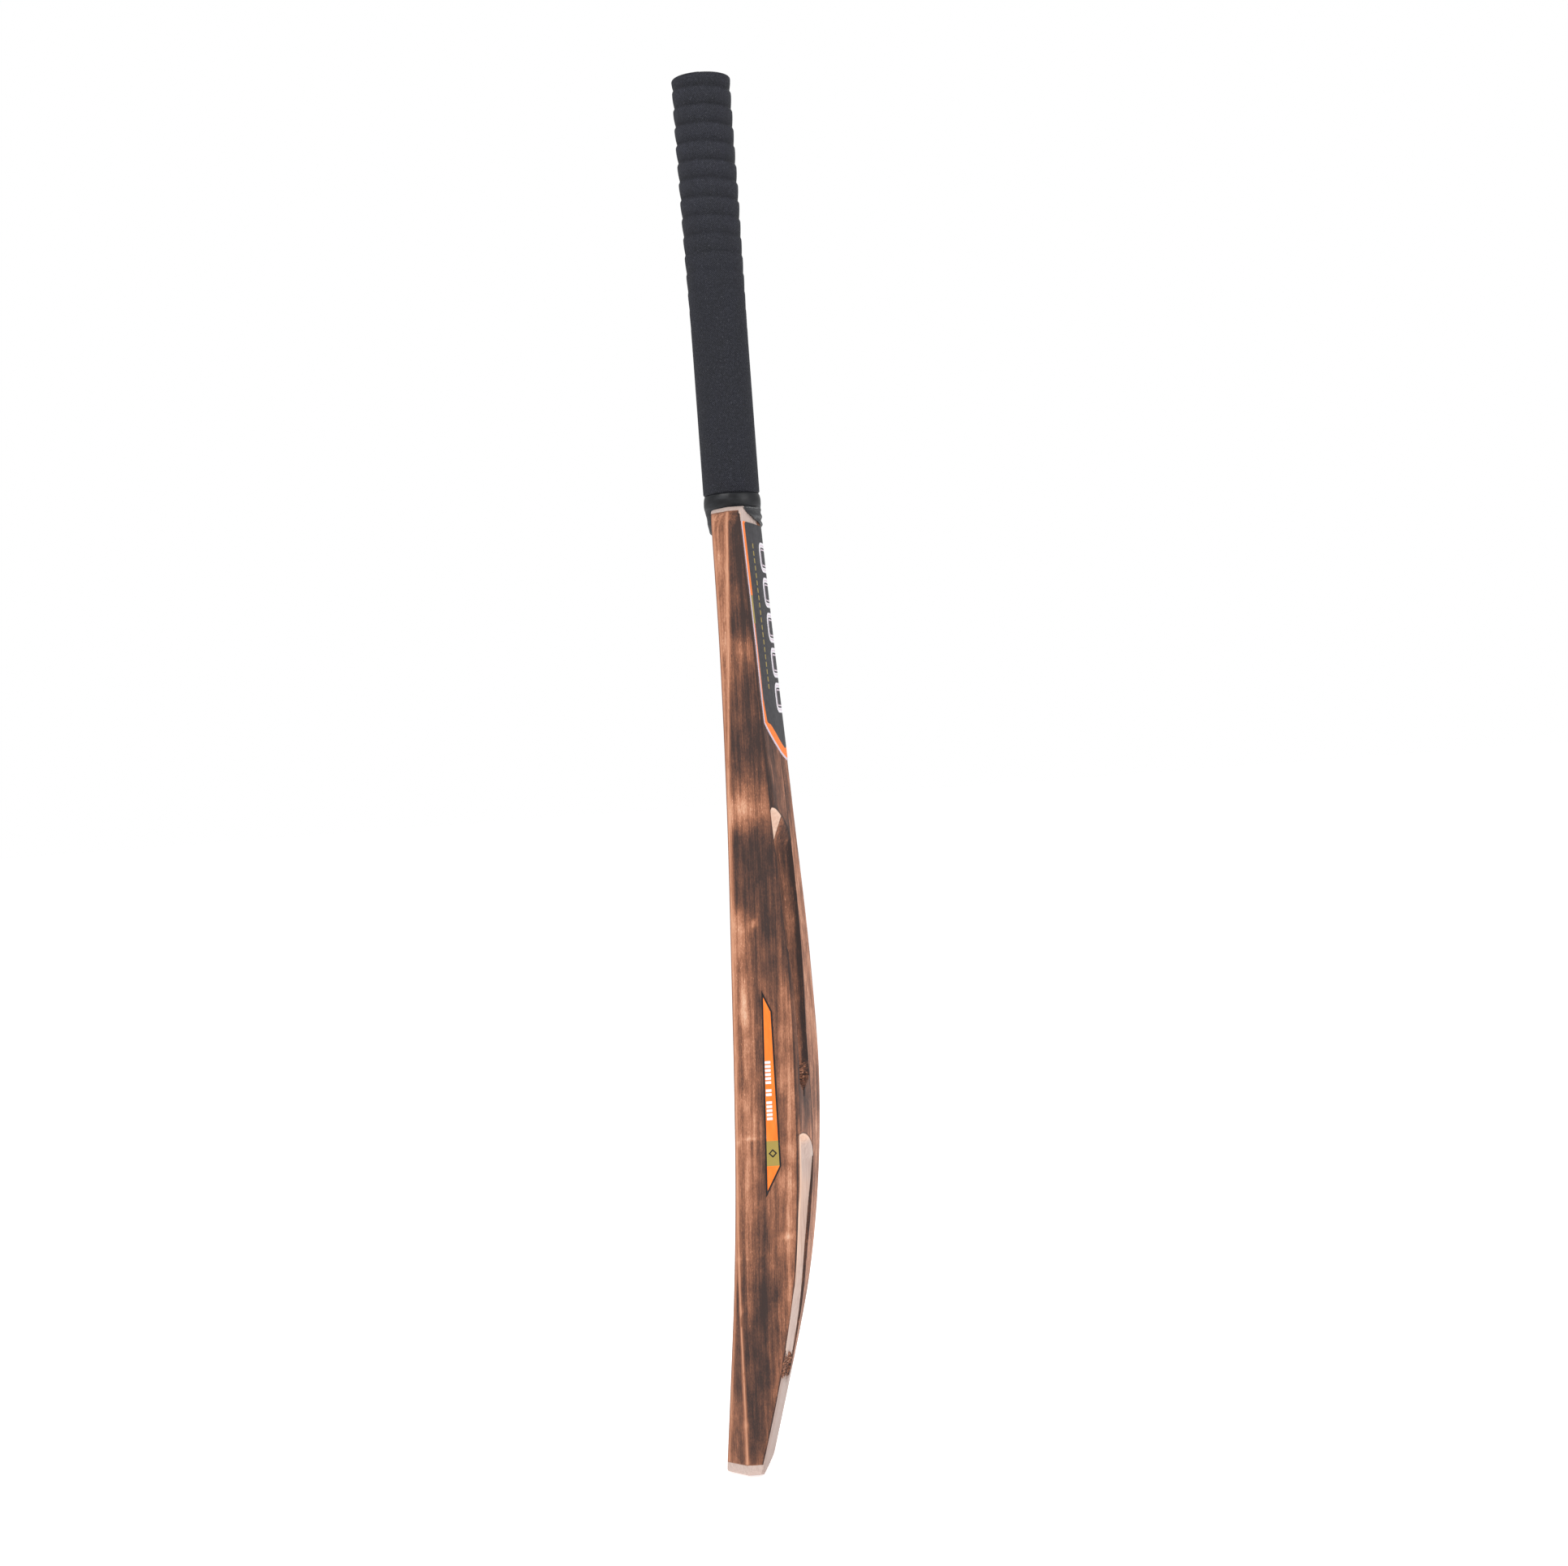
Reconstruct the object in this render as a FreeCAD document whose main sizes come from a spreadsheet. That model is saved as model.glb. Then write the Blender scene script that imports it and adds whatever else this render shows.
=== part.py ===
# Cricket bat for soft-ball play: a bowed willow blade with a spine and four scoops, and a
# laminated cane handle spliced into it. +Z runs up the handle, +X across the blade and +Y
# towards the back. The origin is the middle of the flat toe. Sizes are in millimetres.
import FreeCAD, Part
import Sketcher
import os

# Dimensions that are one number each: word, millimetres, what it measures.
SIZES = [
    ("axis_y", 34.0, "handle axis, behind the middle of the toe"),
    ("half_width", 54.0, "half the blade's width"),
    ("bevel_x", 3.0, "back corner bevel, across"),
    ("bevel_y", 2.1, "back corner bevel, towards the back"),
    ("spine_half", 4.0, "half the width of the flat on the spine"),
    ("blade_top", 582.0, "height of the blade at the handle"),
    ("shoulder_radius", 18.0, "rounding of each shoulder, seen from the face"),
    ("toe_radius", 11.0, "rounding of each toe corner, seen from the face"),
    ("toe_front_up", 3.5, "chamfer of the toe at the face, upward"),
    ("toe_front_in", 3.0, "chamfer of the toe at the face, inward"),
    ("toe_back_up", 2.0, "chamfer of the toe at the back, upward"),
    ("toe_back_in", 1.2, "chamfer of the toe at the back, inward"),
    ("cutter_reach", 140.0, "length of the cutting prisms"),
    ("splice_half", 14.5, "half the splice's width where it enters the blade"),
    ("splice_tip_half", 1.5, "half the splice's width at its tip"),
    ("splice_tip_z", 452.0, "height of the splice's tip"),
    ("cane_radius", 14.5, "radius of the bare cane handle"),
    ("cane_top", 848.5, "height of the end of the cane"),
    ("slip_half", 4.2, "half the thickness of the middle cane slips"),
    ("strip_thick", 1.5, "thickness of each rubber spring strip"),
    ("layer_half", 5.0, "half the depth of the middle layer of slips"),
    ("twine_radius", 15.4, "outer radius of the thread binding"),
    ("grip_low", 593.0, "lower end of the rubber grip"),
    ("grip_top", 850.5, "upper end of the rubber grip"),
    ("grip_radius", 17.3, "outer radius of the grip between its rings"),
    ("ring_rise", 0.8, "height of a raised ring on the grip"),
    ("ring_steep", 2.4, "steep upper side of a ring, along the handle"),
    ("ring_taper", 7.2, "long lower side of a ring, along the handle"),
    ("ring_pitch", 11.25, "distance from ring to ring"),
    ("ring_low_z", 718.0, "height of the lowest ring's crest"),
    ("band_low", 583.5, "lower edge of the smooth band"),
    ("band_radius", 17.4, "radius of the band at its edges"),
    ("band_swell", 0.5, "how far the band swells at its middle"),
    ("wrap_low", 570.0, "lower end of the tape tongues"),
    ("wrap_low_radius", 16.3, "radius of the wrap at its lower end"),
    ("wrap_low_shift", 1.5, "how far the wrap's lower end sits towards the back"),
    ("label_thick", 0.35, "thickness of the stickers"),
    ("back_label_half", 49.5, "half the width of the label on the back"),
    ("back_label_top", 573.0, "upper edge of the label on the back"),
    ("back_label_corner", 1.5, "corner cut off the top of that label"),
    ("back_label_side", 450.0, "lower end of that label at its sides"),
    ("back_label_tip", 427.0, "lower tip of that label on the spine"),
    ("edge_label_top", 291.0, "upper tip of the edge sticker"),
    ("edge_label_shoulder", 278.0, "upper corner of the edge sticker at the back"),
    ("edge_label_foot", 185.5, "lower corner of the edge sticker at the back"),
    ("edge_label_low", 167.5, "lower tip of the edge sticker"),
    ("edge_label_top_y", 31.2, "place of the upper tip"),
    ("edge_label_shoulder_y", 36.6, "place of the upper corner at the back"),
    ("edge_label_foot_y", 35.2, "place of the lower corner at the back"),
    ("edge_label_low_y", 24.9, "place of the lower tip"),
    ("scoop_radius", 18.0, "radius of the round cutter that makes a scoop"),
    ("scoop_x", 33.5, "middle of each scoop, across the blade"),
]

# The blade's sections, from the toe up: height, then how far the face, the line where the
# front facet meets the edge, the back corner and the spine lie behind the handle axis.
STATIONS = [
    (0.0, -45.7, -32.4, -25.3, -18.4),
    (50.0, -39.8, -30.9, -10.9, -3.9),
    (110.0, -32.9, -29.2, 3.0, 11.9),
    (170.0, -27.5, -26.3, 9.9, 21.8),
    (230.0, -23.7, -22.5, 13.0, 26.8),
    (300.0, -20.1, -18.9, 14.8, 26.9),
    (400.0, -15.4, -14.2, 11.1, 23.0),
    (500.0, -12.7, -7.0, 8.0, 18.8),
    (582.0, -12.2, -1.9, 4.6, 15.8),
]

# The scoops of one side: height and distance behind the handle axis of the round cutter's
# centre at its upper and lower ends.
SCOOPS = [
    ("upper", 386.5, 29.2, 249.5, 32.0),
    ("lower", 189.5, 28.8, 66.5, 11.6),
]

RING_COUNT = 12

# The finished pieces, in the order they are made.
published = []

doc = FreeCAD.newDocument("CricketBat")
sheet = doc.addObject("Spreadsheet::Sheet", "sheet")


def fill_sheet():
    rows = [(word, value, note) for word, value, note in SIZES]
    for number, station in enumerate(STATIONS):
        for word, value in zip(("height", "face", "facet", "corner", "spine"), station):
            rows.append((f"{word}_at_{number}", value, "section of the blade"))
    for name, high_z, high_y, low_z, low_y in SCOOPS:
        rows.append((f"{name}_scoop_high_z", high_z, "upper end of a scoop's cutter"))
        rows.append((f"{name}_scoop_high_y", high_y, "upper end of a scoop's cutter"))
        rows.append((f"{name}_scoop_low_z", low_z, "lower end of a scoop's cutter"))
        rows.append((f"{name}_scoop_low_y", low_y, "lower end of a scoop's cutter"))
    for row, (word, value, note) in enumerate(rows, 1):
        sheet.set(f"A{row}", word)
        sheet.set(f"B{row}", str(value))
        sheet.setAlias(f"B{row}", word)
        sheet.set(f"C{row}", note)
    doc.recompute()


def amount(words):
    """The value of a sum such as "half_width - bevel_x", from the sheet."""
    total = 0.0
    sign = 1
    for word in words.split():
        if word in ("+", "-"):
            sign = 1 if word == "+" else -1
        else:
            total += sign * (float(word) if word[0].isdigit() else float(sheet.get(word)))
    return total


def formula(words):
    """The same sum as an expression that points at the sheet's cells."""
    parts = [w if w in ("+", "-") or w[0].isdigit() else f"sheet.{w}" for w in words.split()]
    return " ".join(parts)


def bind(item, **sums):
    for name, words in sums.items():
        item.setExpression(name, formula(words))


def polygon(sketch, points):
    """Lines through the points, each point held by two dimensions that come from the sheet."""
    flat = [FreeCAD.Vector(amount(across), amount(up), 0) for across, up in points]
    count = len(points)
    for number in range(count):
        sketch.addGeometry(Part.LineSegment(flat[number], flat[(number + 1) % count]), False)
    for number in range(count):
        sketch.addConstraint(Sketcher.Constraint("Coincident", number, 2, (number + 1) % count, 1))
    for number, (across, up) in enumerate(points):
        spans = (("DistanceX", across, flat[number].x), ("DistanceY", up, flat[number].y))
        for kind, words, value in spans:
            place = sketch.addConstraint(Sketcher.Constraint(kind, -1, 1, number, 1, value))
            sketch.setExpression(f"Constraints[{place}]", formula(words))
    return sketch


def origin_item(body, role):
    """A body's own plane or axis, found by its role."""
    return next(item for item in body.Origin.OriginFeatures if item.Role == role)


def add_body(name):
    body = doc.addObject("PartDesign::Body", name)
    body.Label = name
    return body


def body_sketch(body, name, role):
    sketch = body.newObject("Sketcher::SketchObject", name)
    sketch.AttachmentSupport = [(origin_item(body, role), "")]
    sketch.MapMode = "FlatFace"
    return sketch


def revolve(body, name, points):
    """A ring about the handle axis; the points are (radius, height) in the XZ plane."""
    profile = polygon(body_sketch(body, name + "_profile", "XZ_Plane"), points)
    ring = body.newObject("PartDesign::Revolution", name)
    ring.Profile = profile
    ring.ReferenceAxis = (profile, ["V_Axis"])
    ring.Angle = 360.0
    return ring


def prism(name, normal, points):
    """A prism both ways from the XZ plane (normal y) or the YZ plane (normal x)."""
    sketch = doc.addObject("Sketcher::SketchObject", name + "_outline")
    turn = FreeCAD.Rotation(FreeCAD.Vector(1, 0, 0), 90)
    if normal == "x":
        turn = FreeCAD.Rotation(FreeCAD.Vector(1, 1, 1), 120)
    sketch.Placement = FreeCAD.Placement(FreeCAD.Vector(0, 0, 0), turn)
    polygon(sketch, points)
    solid = doc.addObject("Part::Extrusion", name)
    solid.Base = sketch
    solid.DirMode = "Custom"
    solid.Dir = FreeCAD.Vector(1, 0, 0) if normal == "x" else FreeCAD.Vector(0, 1, 0)
    solid.Solid = True
    solid.Symmetric = True
    bind(solid, LengthFwd="cutter_reach")
    return solid


def join(name, *shapes):
    fused = doc.addObject("Part::MultiFuse", name)
    fused.Shapes = list(shapes)
    return fused


def cut(name, base, tool):
    result = doc.addObject("Part::Cut", name)
    result.Base = base
    result.Tool = tool
    return result


def common(name, base, tool):
    result = doc.addObject("Part::Common", name)
    result.Base = base
    result.Tool = tool
    return result


def cylinder(name, radius, low, high):
    post = doc.addObject("Part::Cylinder", name)
    bind(post, Radius=radius, Height=f"{high} - {low}")
    post.setExpression(".Placement.Base.y", formula("axis_y"))
    post.setExpression(".Placement.Base.z", formula(low))
    return post


def mirrored(words):
    """The same sum with every sign turned round."""
    swap = {"+": "-", "-": "+"}
    return "- " + " ".join(swap.get(word, word) for word in words.split())


def section_points(number):
    """One section of the blade: its right half from the face to the spine, then its left half."""
    face = f"axis_y + face_at_{number}"
    corner = f"axis_y + corner_at_{number}"
    # The front facet goes as far across as it goes back.
    right = [
        (f"half_width - facet_at_{number} + face_at_{number}", face),
        ("half_width", f"axis_y + facet_at_{number}"),
        ("half_width", corner),
        ("half_width - bevel_x", f"{corner} + bevel_y"),
        ("spine_half", f"axis_y + spine_at_{number}"),
    ]
    left = [(mirrored(across), back) for across, back in reversed(right)]
    return right + left


def blade_stock():
    """The bowed blade, before its outline, slot and scoops are cut."""
    body = add_body("blade_stock")
    sections = []
    for number in range(len(STATIONS)):
        sketch = body_sketch(body, f"section_{number}", "XY_Plane")
        sketch.setExpression(".AttachmentOffset.Base.z", formula(f"height_at_{number}"))
        sections.append(polygon(sketch, section_points(number)))
    loft = body.newObject("PartDesign::AdditiveLoft", "blade_loft")
    loft.Profile = sections[0]
    loft.Sections = [(sketch, [""]) for sketch in sections[1:]]
    return body


def blade_outline():
    """The blade seen from its face: a rectangle with round shoulders and toe corners."""
    body = add_body("blade_outline")
    sketch = body_sketch(body, "outline_profile", "XZ_Plane")
    polygon(sketch, [
        ("- half_width", "0"),
        ("half_width", "0"),
        ("half_width", "blade_top"),
        ("- half_width", "blade_top"),
    ])
    pad = body.newObject("PartDesign::Pad", "outline_pad")
    pad.Profile = sketch
    pad.Midplane = True
    pad.setExpression("Length", formula("cutter_reach"))
    doc.recompute()
    for name, radius, low in (("shoulders", "shoulder_radius", False), ("toe_corners", "toe_radius", True)):
        base = body.Tip
        picked = []
        for number, edge in enumerate(base.Shape.Edges, 1):
            across_blade = edge.BoundBox.YLength > 2 * amount("half_width")
            if across_blade and (edge.CenterOfMass.z < amount("toe_radius")) == low:
                picked.append(f"Edge{number}")
        rounding = body.newObject("PartDesign::Fillet", name)
        rounding.Base = (base, picked)
        rounding.setExpression("Radius", formula(radius))
        doc.recompute()
    return body


def toe_cutters():
    """The chamfers of the toe at the face and at the back."""
    face = "axis_y + face_at_0"
    corner = "axis_y + corner_at_0"
    front = prism("toe_front", "x", [
        (f"{face} - 10", "- 1"),
        (f"{face} + toe_front_in", "- 1"),
        (f"{face} + toe_front_in", "0"),
        (face, "toe_front_up"),
        (f"{face} - 10", "toe_front_up"),
    ])
    back = prism("toe_back", "x", [
        (f"{corner}", "- 1"),
        (f"{corner} + 40", "- 1"),
        (f"{corner} + 40", "toe_back_up + toe_back_up"),
        (f"{corner} + toe_back_in", "toe_back_up"),
        (f"{corner}", "0"),
    ])
    return [front, back]


def splice_prism():
    """The V that the handle's tongue and the blade's slot share."""
    return prism("splice_v", "y", [
        ("- splice_tip_half", "splice_tip_z"),
        ("splice_tip_half", "splice_tip_z"),
        ("splice_half", "blade_top"),
        ("- splice_half", "blade_top"),
    ])


def scoop_cutter(name, side):
    """A round-ended bar laid along one side of the spine; side is 1 to the right, -1 to the left."""
    ends = []
    for end in ("high", "low"):
        ball = doc.addObject("Part::Sphere", f"{name}_{end}_ball")
        bind(ball, Radius="scoop_radius")
        place_scoop(ball, name, end, side)
        ends.append(ball)
    rise = amount(f"{name}_scoop_high_z - {name}_scoop_low_z")
    depth = amount(f"{name}_scoop_high_y - {name}_scoop_low_y")
    bar = doc.addObject("Part::Cylinder", f"{name}_bar")
    bind(bar, Radius="scoop_radius")
    bar.setExpression("Height", f"sqrt(({formula(name + '_scoop_high_z - ' + name + '_scoop_low_z')})^2"
                      f" + ({formula(name + '_scoop_high_y - ' + name + '_scoop_low_y')})^2)")
    bar.Placement.Rotation = FreeCAD.Rotation(FreeCAD.Vector(0, 0, 1), FreeCAD.Vector(0, depth, rise))
    place_scoop(bar, name, "low", side)
    return join(f"{name}_cutter_{'right' if side > 0 else 'left'}", bar, *ends)


def place_scoop(item, name, end, side):
    item.setExpression(".Placement.Base.x", f"{side} * sheet.scoop_x")
    item.setExpression(".Placement.Base.y", formula(f"axis_y + {name}_scoop_{end}_y"))
    item.setExpression(".Placement.Base.z", formula(f"{name}_scoop_{end}_z"))


def cane_slips(blank, splice):
    """The handle and its tongue, cut into three columns of three slips and two rubber strips."""
    post = cylinder("handle_post", "cane_radius", "blade_top", "cane_top")
    handle = join("handle_solid", common("tongue", blank, splice), post)
    strip_edge = "slip_half + strip_thick"
    columns = [
        ("left", "- half_width", "half_width - slip_half - strip_thick"),
        ("centre", "- slip_half", "slip_half + slip_half"),
        ("right", strip_edge, "half_width - slip_half - strip_thick"),
    ]
    layers = [
        ("front", "0 - cutter_reach", "cutter_reach + axis_y - layer_half"),
        ("middle", "axis_y - layer_half", "layer_half + layer_half"),
        ("back", "axis_y + layer_half", "cutter_reach"),
    ]
    for column, left, width in columns:
        for layer, front, depth in layers:
            cell = grid_box(f"{column}_{layer}_cell", left, width, front, depth)
            publish(common(f"cane_{column}_{layer}", handle, cell))
    for side, left in (("left", "0 - slip_half - strip_thick"), ("right", "slip_half")):
        whole = "cutter_reach + cutter_reach"
        cell = grid_box(f"{side}_strip_cell", left, "strip_thick", "0 - cutter_reach", whole)
        publish(common(f"rubber_strip_{side}", handle, cell))


def grid_box(name, left, width, front, depth):
    box = doc.addObject("Part::Box", name)
    bind(box, Length=width, Width=depth, Height="cane_top - splice_tip_z + 20")
    box.setExpression(".Placement.Base.x", formula(left))
    box.setExpression(".Placement.Base.y", formula(front))
    box.setExpression(".Placement.Base.z", formula("splice_tip_z - 10"))
    return box


def twine_binding():
    bottom = "blade_top"
    outer = cylinder("twine_outer", "twine_radius", bottom, "cane_top")
    inner = cylinder("twine_inner", "cane_radius", bottom, "cane_top")
    publish(cut("twine_binding", outer, inner))


def rubber_grip():
    """The tube over the binding, with raised rings that fall away slowly towards the blade."""
    body = add_body("rubber_grip")
    body.setExpression(".Placement.Base.y", formula("axis_y"))
    revolve(body, "grip_tube", [
        ("twine_radius", "grip_low"),
        ("grip_radius", "grip_low"),
        ("grip_radius", "grip_top"),
        ("twine_radius - 3", "grip_top"),
        ("twine_radius - 3", "cane_top"),
        ("twine_radius", "cane_top"),
    ])
    ring = revolve(body, "grip_ring", [
        ("grip_radius - 1", "ring_low_z - ring_taper"),
        ("grip_radius", "ring_low_z - ring_taper"),
        ("grip_radius + ring_rise", "ring_low_z"),
        ("grip_radius", "ring_low_z + ring_steep"),
        ("grip_radius - 1", "ring_low_z + ring_steep"),
    ])
    doc.recompute()
    rings = body.newObject("PartDesign::LinearPattern", "grip_rings")
    rings.Originals = [ring]
    rings.Direction = (origin_item(body, "Z_Axis"), [""])
    rings.Occurrences = RING_COUNT
    rings.setExpression("Length", f"{RING_COUNT - 1} * sheet.ring_pitch")
    body.Tip = rings
    publish(body)


def collar_band():
    """A smooth band that swells a little at its middle, below the grip."""
    body = add_body("collar_band")
    body.setExpression(".Placement.Base.y", formula("axis_y"))
    revolve(body, "band_ring", [
        ("twine_radius", "band_low"),
        ("band_radius", "band_low"),
        ("band_radius + band_swell", "band_low + 3"),
        ("band_radius + band_swell", "grip_low - 3"),
        ("band_radius", "grip_low"),
        ("twine_radius", "grip_low"),
    ])
    publish(body)


def shoulder_wrap(blank):
    """The tape below the band; it tapers onto the face and the back of the blade."""
    body = add_body("wrap_stock")
    rings = []
    for name, radius, height, shift in (
        ("wrap_low_ring", "wrap_low_radius", "wrap_low", "axis_y + wrap_low_shift"),
        ("wrap_high_ring", "band_radius", "band_low", "axis_y"),
    ):
        sketch = body_sketch(body, name, "XY_Plane")
        sketch.setExpression(".AttachmentOffset.Base.z", formula(height))
        centre = FreeCAD.Vector(0, amount(shift), 0)
        sketch.addGeometry(Part.Circle(centre, FreeCAD.Vector(0, 0, 1), amount(radius)), False)
        sketch.addConstraint(Sketcher.Constraint("PointOnObject", 0, 3, -2))
        drop = sketch.addConstraint(Sketcher.Constraint("DistanceY", -1, 1, 0, 3, centre.y))
        size = sketch.addConstraint(Sketcher.Constraint("Radius", 0, amount(radius)))
        sketch.setExpression(f"Constraints[{drop}]", formula(shift))
        sketch.setExpression(f"Constraints[{size}]", formula(radius))
        rings.append(sketch)
    loft = body.newObject("PartDesign::AdditiveLoft", "wrap_loft")
    loft.Profile = rings[0]
    loft.Sections = [(rings[1], [""])]
    core = cylinder("wrap_core", "twine_radius", "blade_top", "grip_low")
    publish(cut("shoulder_wrap", body, join("wrap_clearance", blank, core)))


def shifted(name, blank, axis, words):
    """A copy of the blank moved along one axis, whose skin outside the blank makes a sticker."""
    copy = doc.addObject("Part::Compound", name)
    copy.Links = [blank]
    copy.setExpression(f".Placement.Base.{axis}", formula(words))
    return copy


def back_label(blank):
    half = "back_label_half"
    outline = prism("back_label_area", "y", [
        ("0", "back_label_tip"),
        (half, "back_label_side"),
        (half, "back_label_top - back_label_corner"),
        ("back_label_half - back_label_corner", "back_label_top"),
        ("back_label_corner - back_label_half", "back_label_top"),
        (mirrored(half), "back_label_top - back_label_corner"),
        (mirrored(half), "back_label_side"),
    ])
    copy = shifted("back_label_stock", blank, "y", "label_thick")
    publish(cut("back_label", common("back_label_piece", copy, outline), blank))


def edge_labels(blank):
    outline = prism("edge_label_area", "x", [
        ("edge_label_top_y", "edge_label_top"),
        ("edge_label_low_y", "edge_label_low"),
        ("edge_label_foot_y", "edge_label_foot"),
        ("edge_label_shoulder_y", "edge_label_shoulder"),
    ])
    for side, words in (("right", "label_thick"), ("left", "0 - label_thick")):
        copy = shifted(f"edge_label_stock_{side}", blank, "x", words)
        piece = common(f"edge_label_piece_{side}", copy, outline)
        publish(cut(f"edge_label_{side}", piece, blank))


def publish(item):
    """Marks an object as one of the bat's pieces; its label names its file."""
    item.Label = item.Name
    published.append(item)
    return item


def build():
    fill_sheet()
    stock = blade_stock()
    outline = blade_outline()
    blank = cut("blade_blank", common("blade_outlined", stock, outline), join("toe_cuts", *toe_cutters()))
    splice = splice_prism()
    scoops = [scoop_cutter(name, side) for name, *rest in SCOOPS for side in (1, -1)]
    publish(cut("blade", blank, join("blade_cuts", splice, *scoops)))
    cane_slips(blank, splice)
    twine_binding()
    rubber_grip()
    collar_band()
    shoulder_wrap(blank)
    back_label(blank)
    edge_labels(blank)
    doc.recompute()


def check():
    for item in doc.Objects:
        if "Invalid" in item.State or "Error" in item.State:
            raise RuntimeError(f"{item.Name} failed: {item.State}")
    for item in published:
        if item.Shape.isNull() or not item.Shape.isValid() or not item.Shape.Solids:
            raise RuntimeError(f"{item.Label} has no valid solid")


def export():
    os.makedirs("parts", exist_ok=True)
    for item in published:
        item.Shape.exportStep(f"parts/{item.Label}.step")
        box = item.Shape.BoundBox
        print(f"{item.Label:22s} {len(item.Shape.Solids)} solid, {item.Shape.Volume / 1000:8.2f} cm3,"
              f" z {box.ZMin:.1f} to {box.ZMax:.1f}, y {box.YMin:.1f} to {box.YMax:.1f}")


build()
check()
export()
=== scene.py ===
import math

import bmesh
import bpy
import numpy as np
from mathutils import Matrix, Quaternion, Vector


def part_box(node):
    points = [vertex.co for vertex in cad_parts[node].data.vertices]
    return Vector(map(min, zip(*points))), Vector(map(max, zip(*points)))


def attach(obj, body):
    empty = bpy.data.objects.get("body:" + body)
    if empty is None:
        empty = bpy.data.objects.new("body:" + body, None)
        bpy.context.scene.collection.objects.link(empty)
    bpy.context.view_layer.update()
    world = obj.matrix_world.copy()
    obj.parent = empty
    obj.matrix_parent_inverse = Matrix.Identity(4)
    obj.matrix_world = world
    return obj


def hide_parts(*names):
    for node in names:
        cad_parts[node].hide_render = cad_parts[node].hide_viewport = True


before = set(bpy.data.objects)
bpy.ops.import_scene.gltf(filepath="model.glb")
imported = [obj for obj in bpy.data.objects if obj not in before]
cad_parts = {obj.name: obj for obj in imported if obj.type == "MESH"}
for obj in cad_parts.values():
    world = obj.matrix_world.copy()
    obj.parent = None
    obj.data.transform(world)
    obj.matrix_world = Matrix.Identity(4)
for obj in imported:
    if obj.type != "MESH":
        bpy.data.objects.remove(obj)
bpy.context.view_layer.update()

mm = 0.001


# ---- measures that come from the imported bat, in millimetres
def nodeBox(name):
    low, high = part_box(name)
    return np.array(low) / mm, np.array(high) / mm


bladeHigh = nodeBox("blade")[1]
gripLow, gripHigh = nodeBox("rubber_grip")
bandLow, bandHigh = nodeBox("collar_band")
twineHigh = nodeBox("twine_binding")[1]
axisY = (gripLow[1] + gripHigh[1]) / 2
bladeTop = bladeHigh[2]
halfWidth = bladeHigh[0]
caneTop = twineHigh[2]
twineRadius = twineHigh[0]


# ---- small tools for shapes
def smoothCurve(at, knots, values):
    # cubic pieces through the knots; the slope at a knot is that of the line between its neighbours
    knots = np.asarray(knots, float)
    values = np.asarray(values, float)
    slope = np.gradient(values, knots)
    at = np.clip(at, knots[0], knots[-1])
    cell = np.clip(np.searchsorted(knots, at, side="right") - 1, 0, len(knots) - 2)
    span = knots[cell + 1] - knots[cell]
    f = (at - knots[cell]) / span
    return ((2 * f**3 - 3 * f**2 + 1) * values[cell] + (f**3 - 2 * f**2 + f) * span * slope[cell]
            + (3 * f**2 - 2 * f**3) * values[cell + 1] + (f**3 - f**2) * span * slope[cell + 1])


def smoothStep(at, low, high):
    # 0 below low, 1 above high, with a level start and end
    f = np.clip((at - low) / (high - low), 0, 1)
    return f * f * (3 - 2 * f)


def fullTurn(count):
    return np.linspace(0, 2 * math.pi, count, endpoint=False)


def softMin(a, b, soft):
    # the smaller of two heights, rounded over where they cross
    return -soft * np.logaddexp(-a / soft, -b / soft)


def ripple(seed, *axes):
    # smooth noise: the sum of nine sine waves with seeded directions and phases, scaled and cut to -1 and 1
    draw = np.random.default_rng(seed)
    total = 0
    for wave in range(9):
        phase = draw.uniform(0, 2 * math.pi)
        total = total + np.sin(sum(a * draw.uniform(-1.6, 1.6) for a in axes) + phase)
    return np.clip(total / 4.2, -1, 1)


def makePiece(name, vertices, faces, sharp=35):
    # turns arrays in millimetres into a mesh at its place, smooth except at edges over the sharp angle
    mesh = bpy.data.meshes.new(name)
    mesh.from_pydata(np.asarray(vertices) * mm, [], faces)
    mesh.polygons.foreach_set("use_smooth", np.ones(len(mesh.polygons), bool))
    mesh.set_sharp_from_angle(angle=math.radians(sharp))
    mesh.update()
    piece = bpy.data.objects.new(name, mesh)
    bpy.context.scene.collection.objects.link(piece)
    return piece


def loopFaces(rows, columns, ring=False):
    # four-sided faces between neighbouring rows; the columns close on themselves
    # with ring the rows close as well, otherwise the two end rows become flat caps
    index = np.arange(rows * columns).reshape(rows, columns)
    right = np.roll(index, -1, axis=1)
    above = np.roll(index, -1, axis=0)
    aboveRight = np.roll(right, -1, axis=0)
    quads = np.stack([index, right, aboveRight, above], axis=-1)
    if not ring:
        quads = quads[:-1]
    faces = quads.reshape(-1, 4).tolist()
    if not ring:
        faces += [index[0][::-1].tolist(), index[-1].tolist()]
    return faces


def loopPiece(name, grid, ring=False, sharp=35):
    # grid is rows x columns x 3, its columns going round the piece; faces are turned outwards by volume
    rows, columns = grid.shape[:2]
    piece = makePiece(name, grid.reshape(-1, 3), loopFaces(rows, columns, ring), sharp)
    work = bmesh.new()
    work.from_mesh(piece.data)
    if work.calc_volume(signed=True) < 0:
        bmesh.ops.reverse_faces(work, faces=work.faces)
        work.to_mesh(piece.data)
    work.free()
    return piece


def aroundAxis(radius, turn, tall):
    # places at a radius and turn round the handle's axis
    return np.stack([radius * np.cos(turn), axisY + radius * np.sin(turn), tall], axis=-1)


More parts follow.
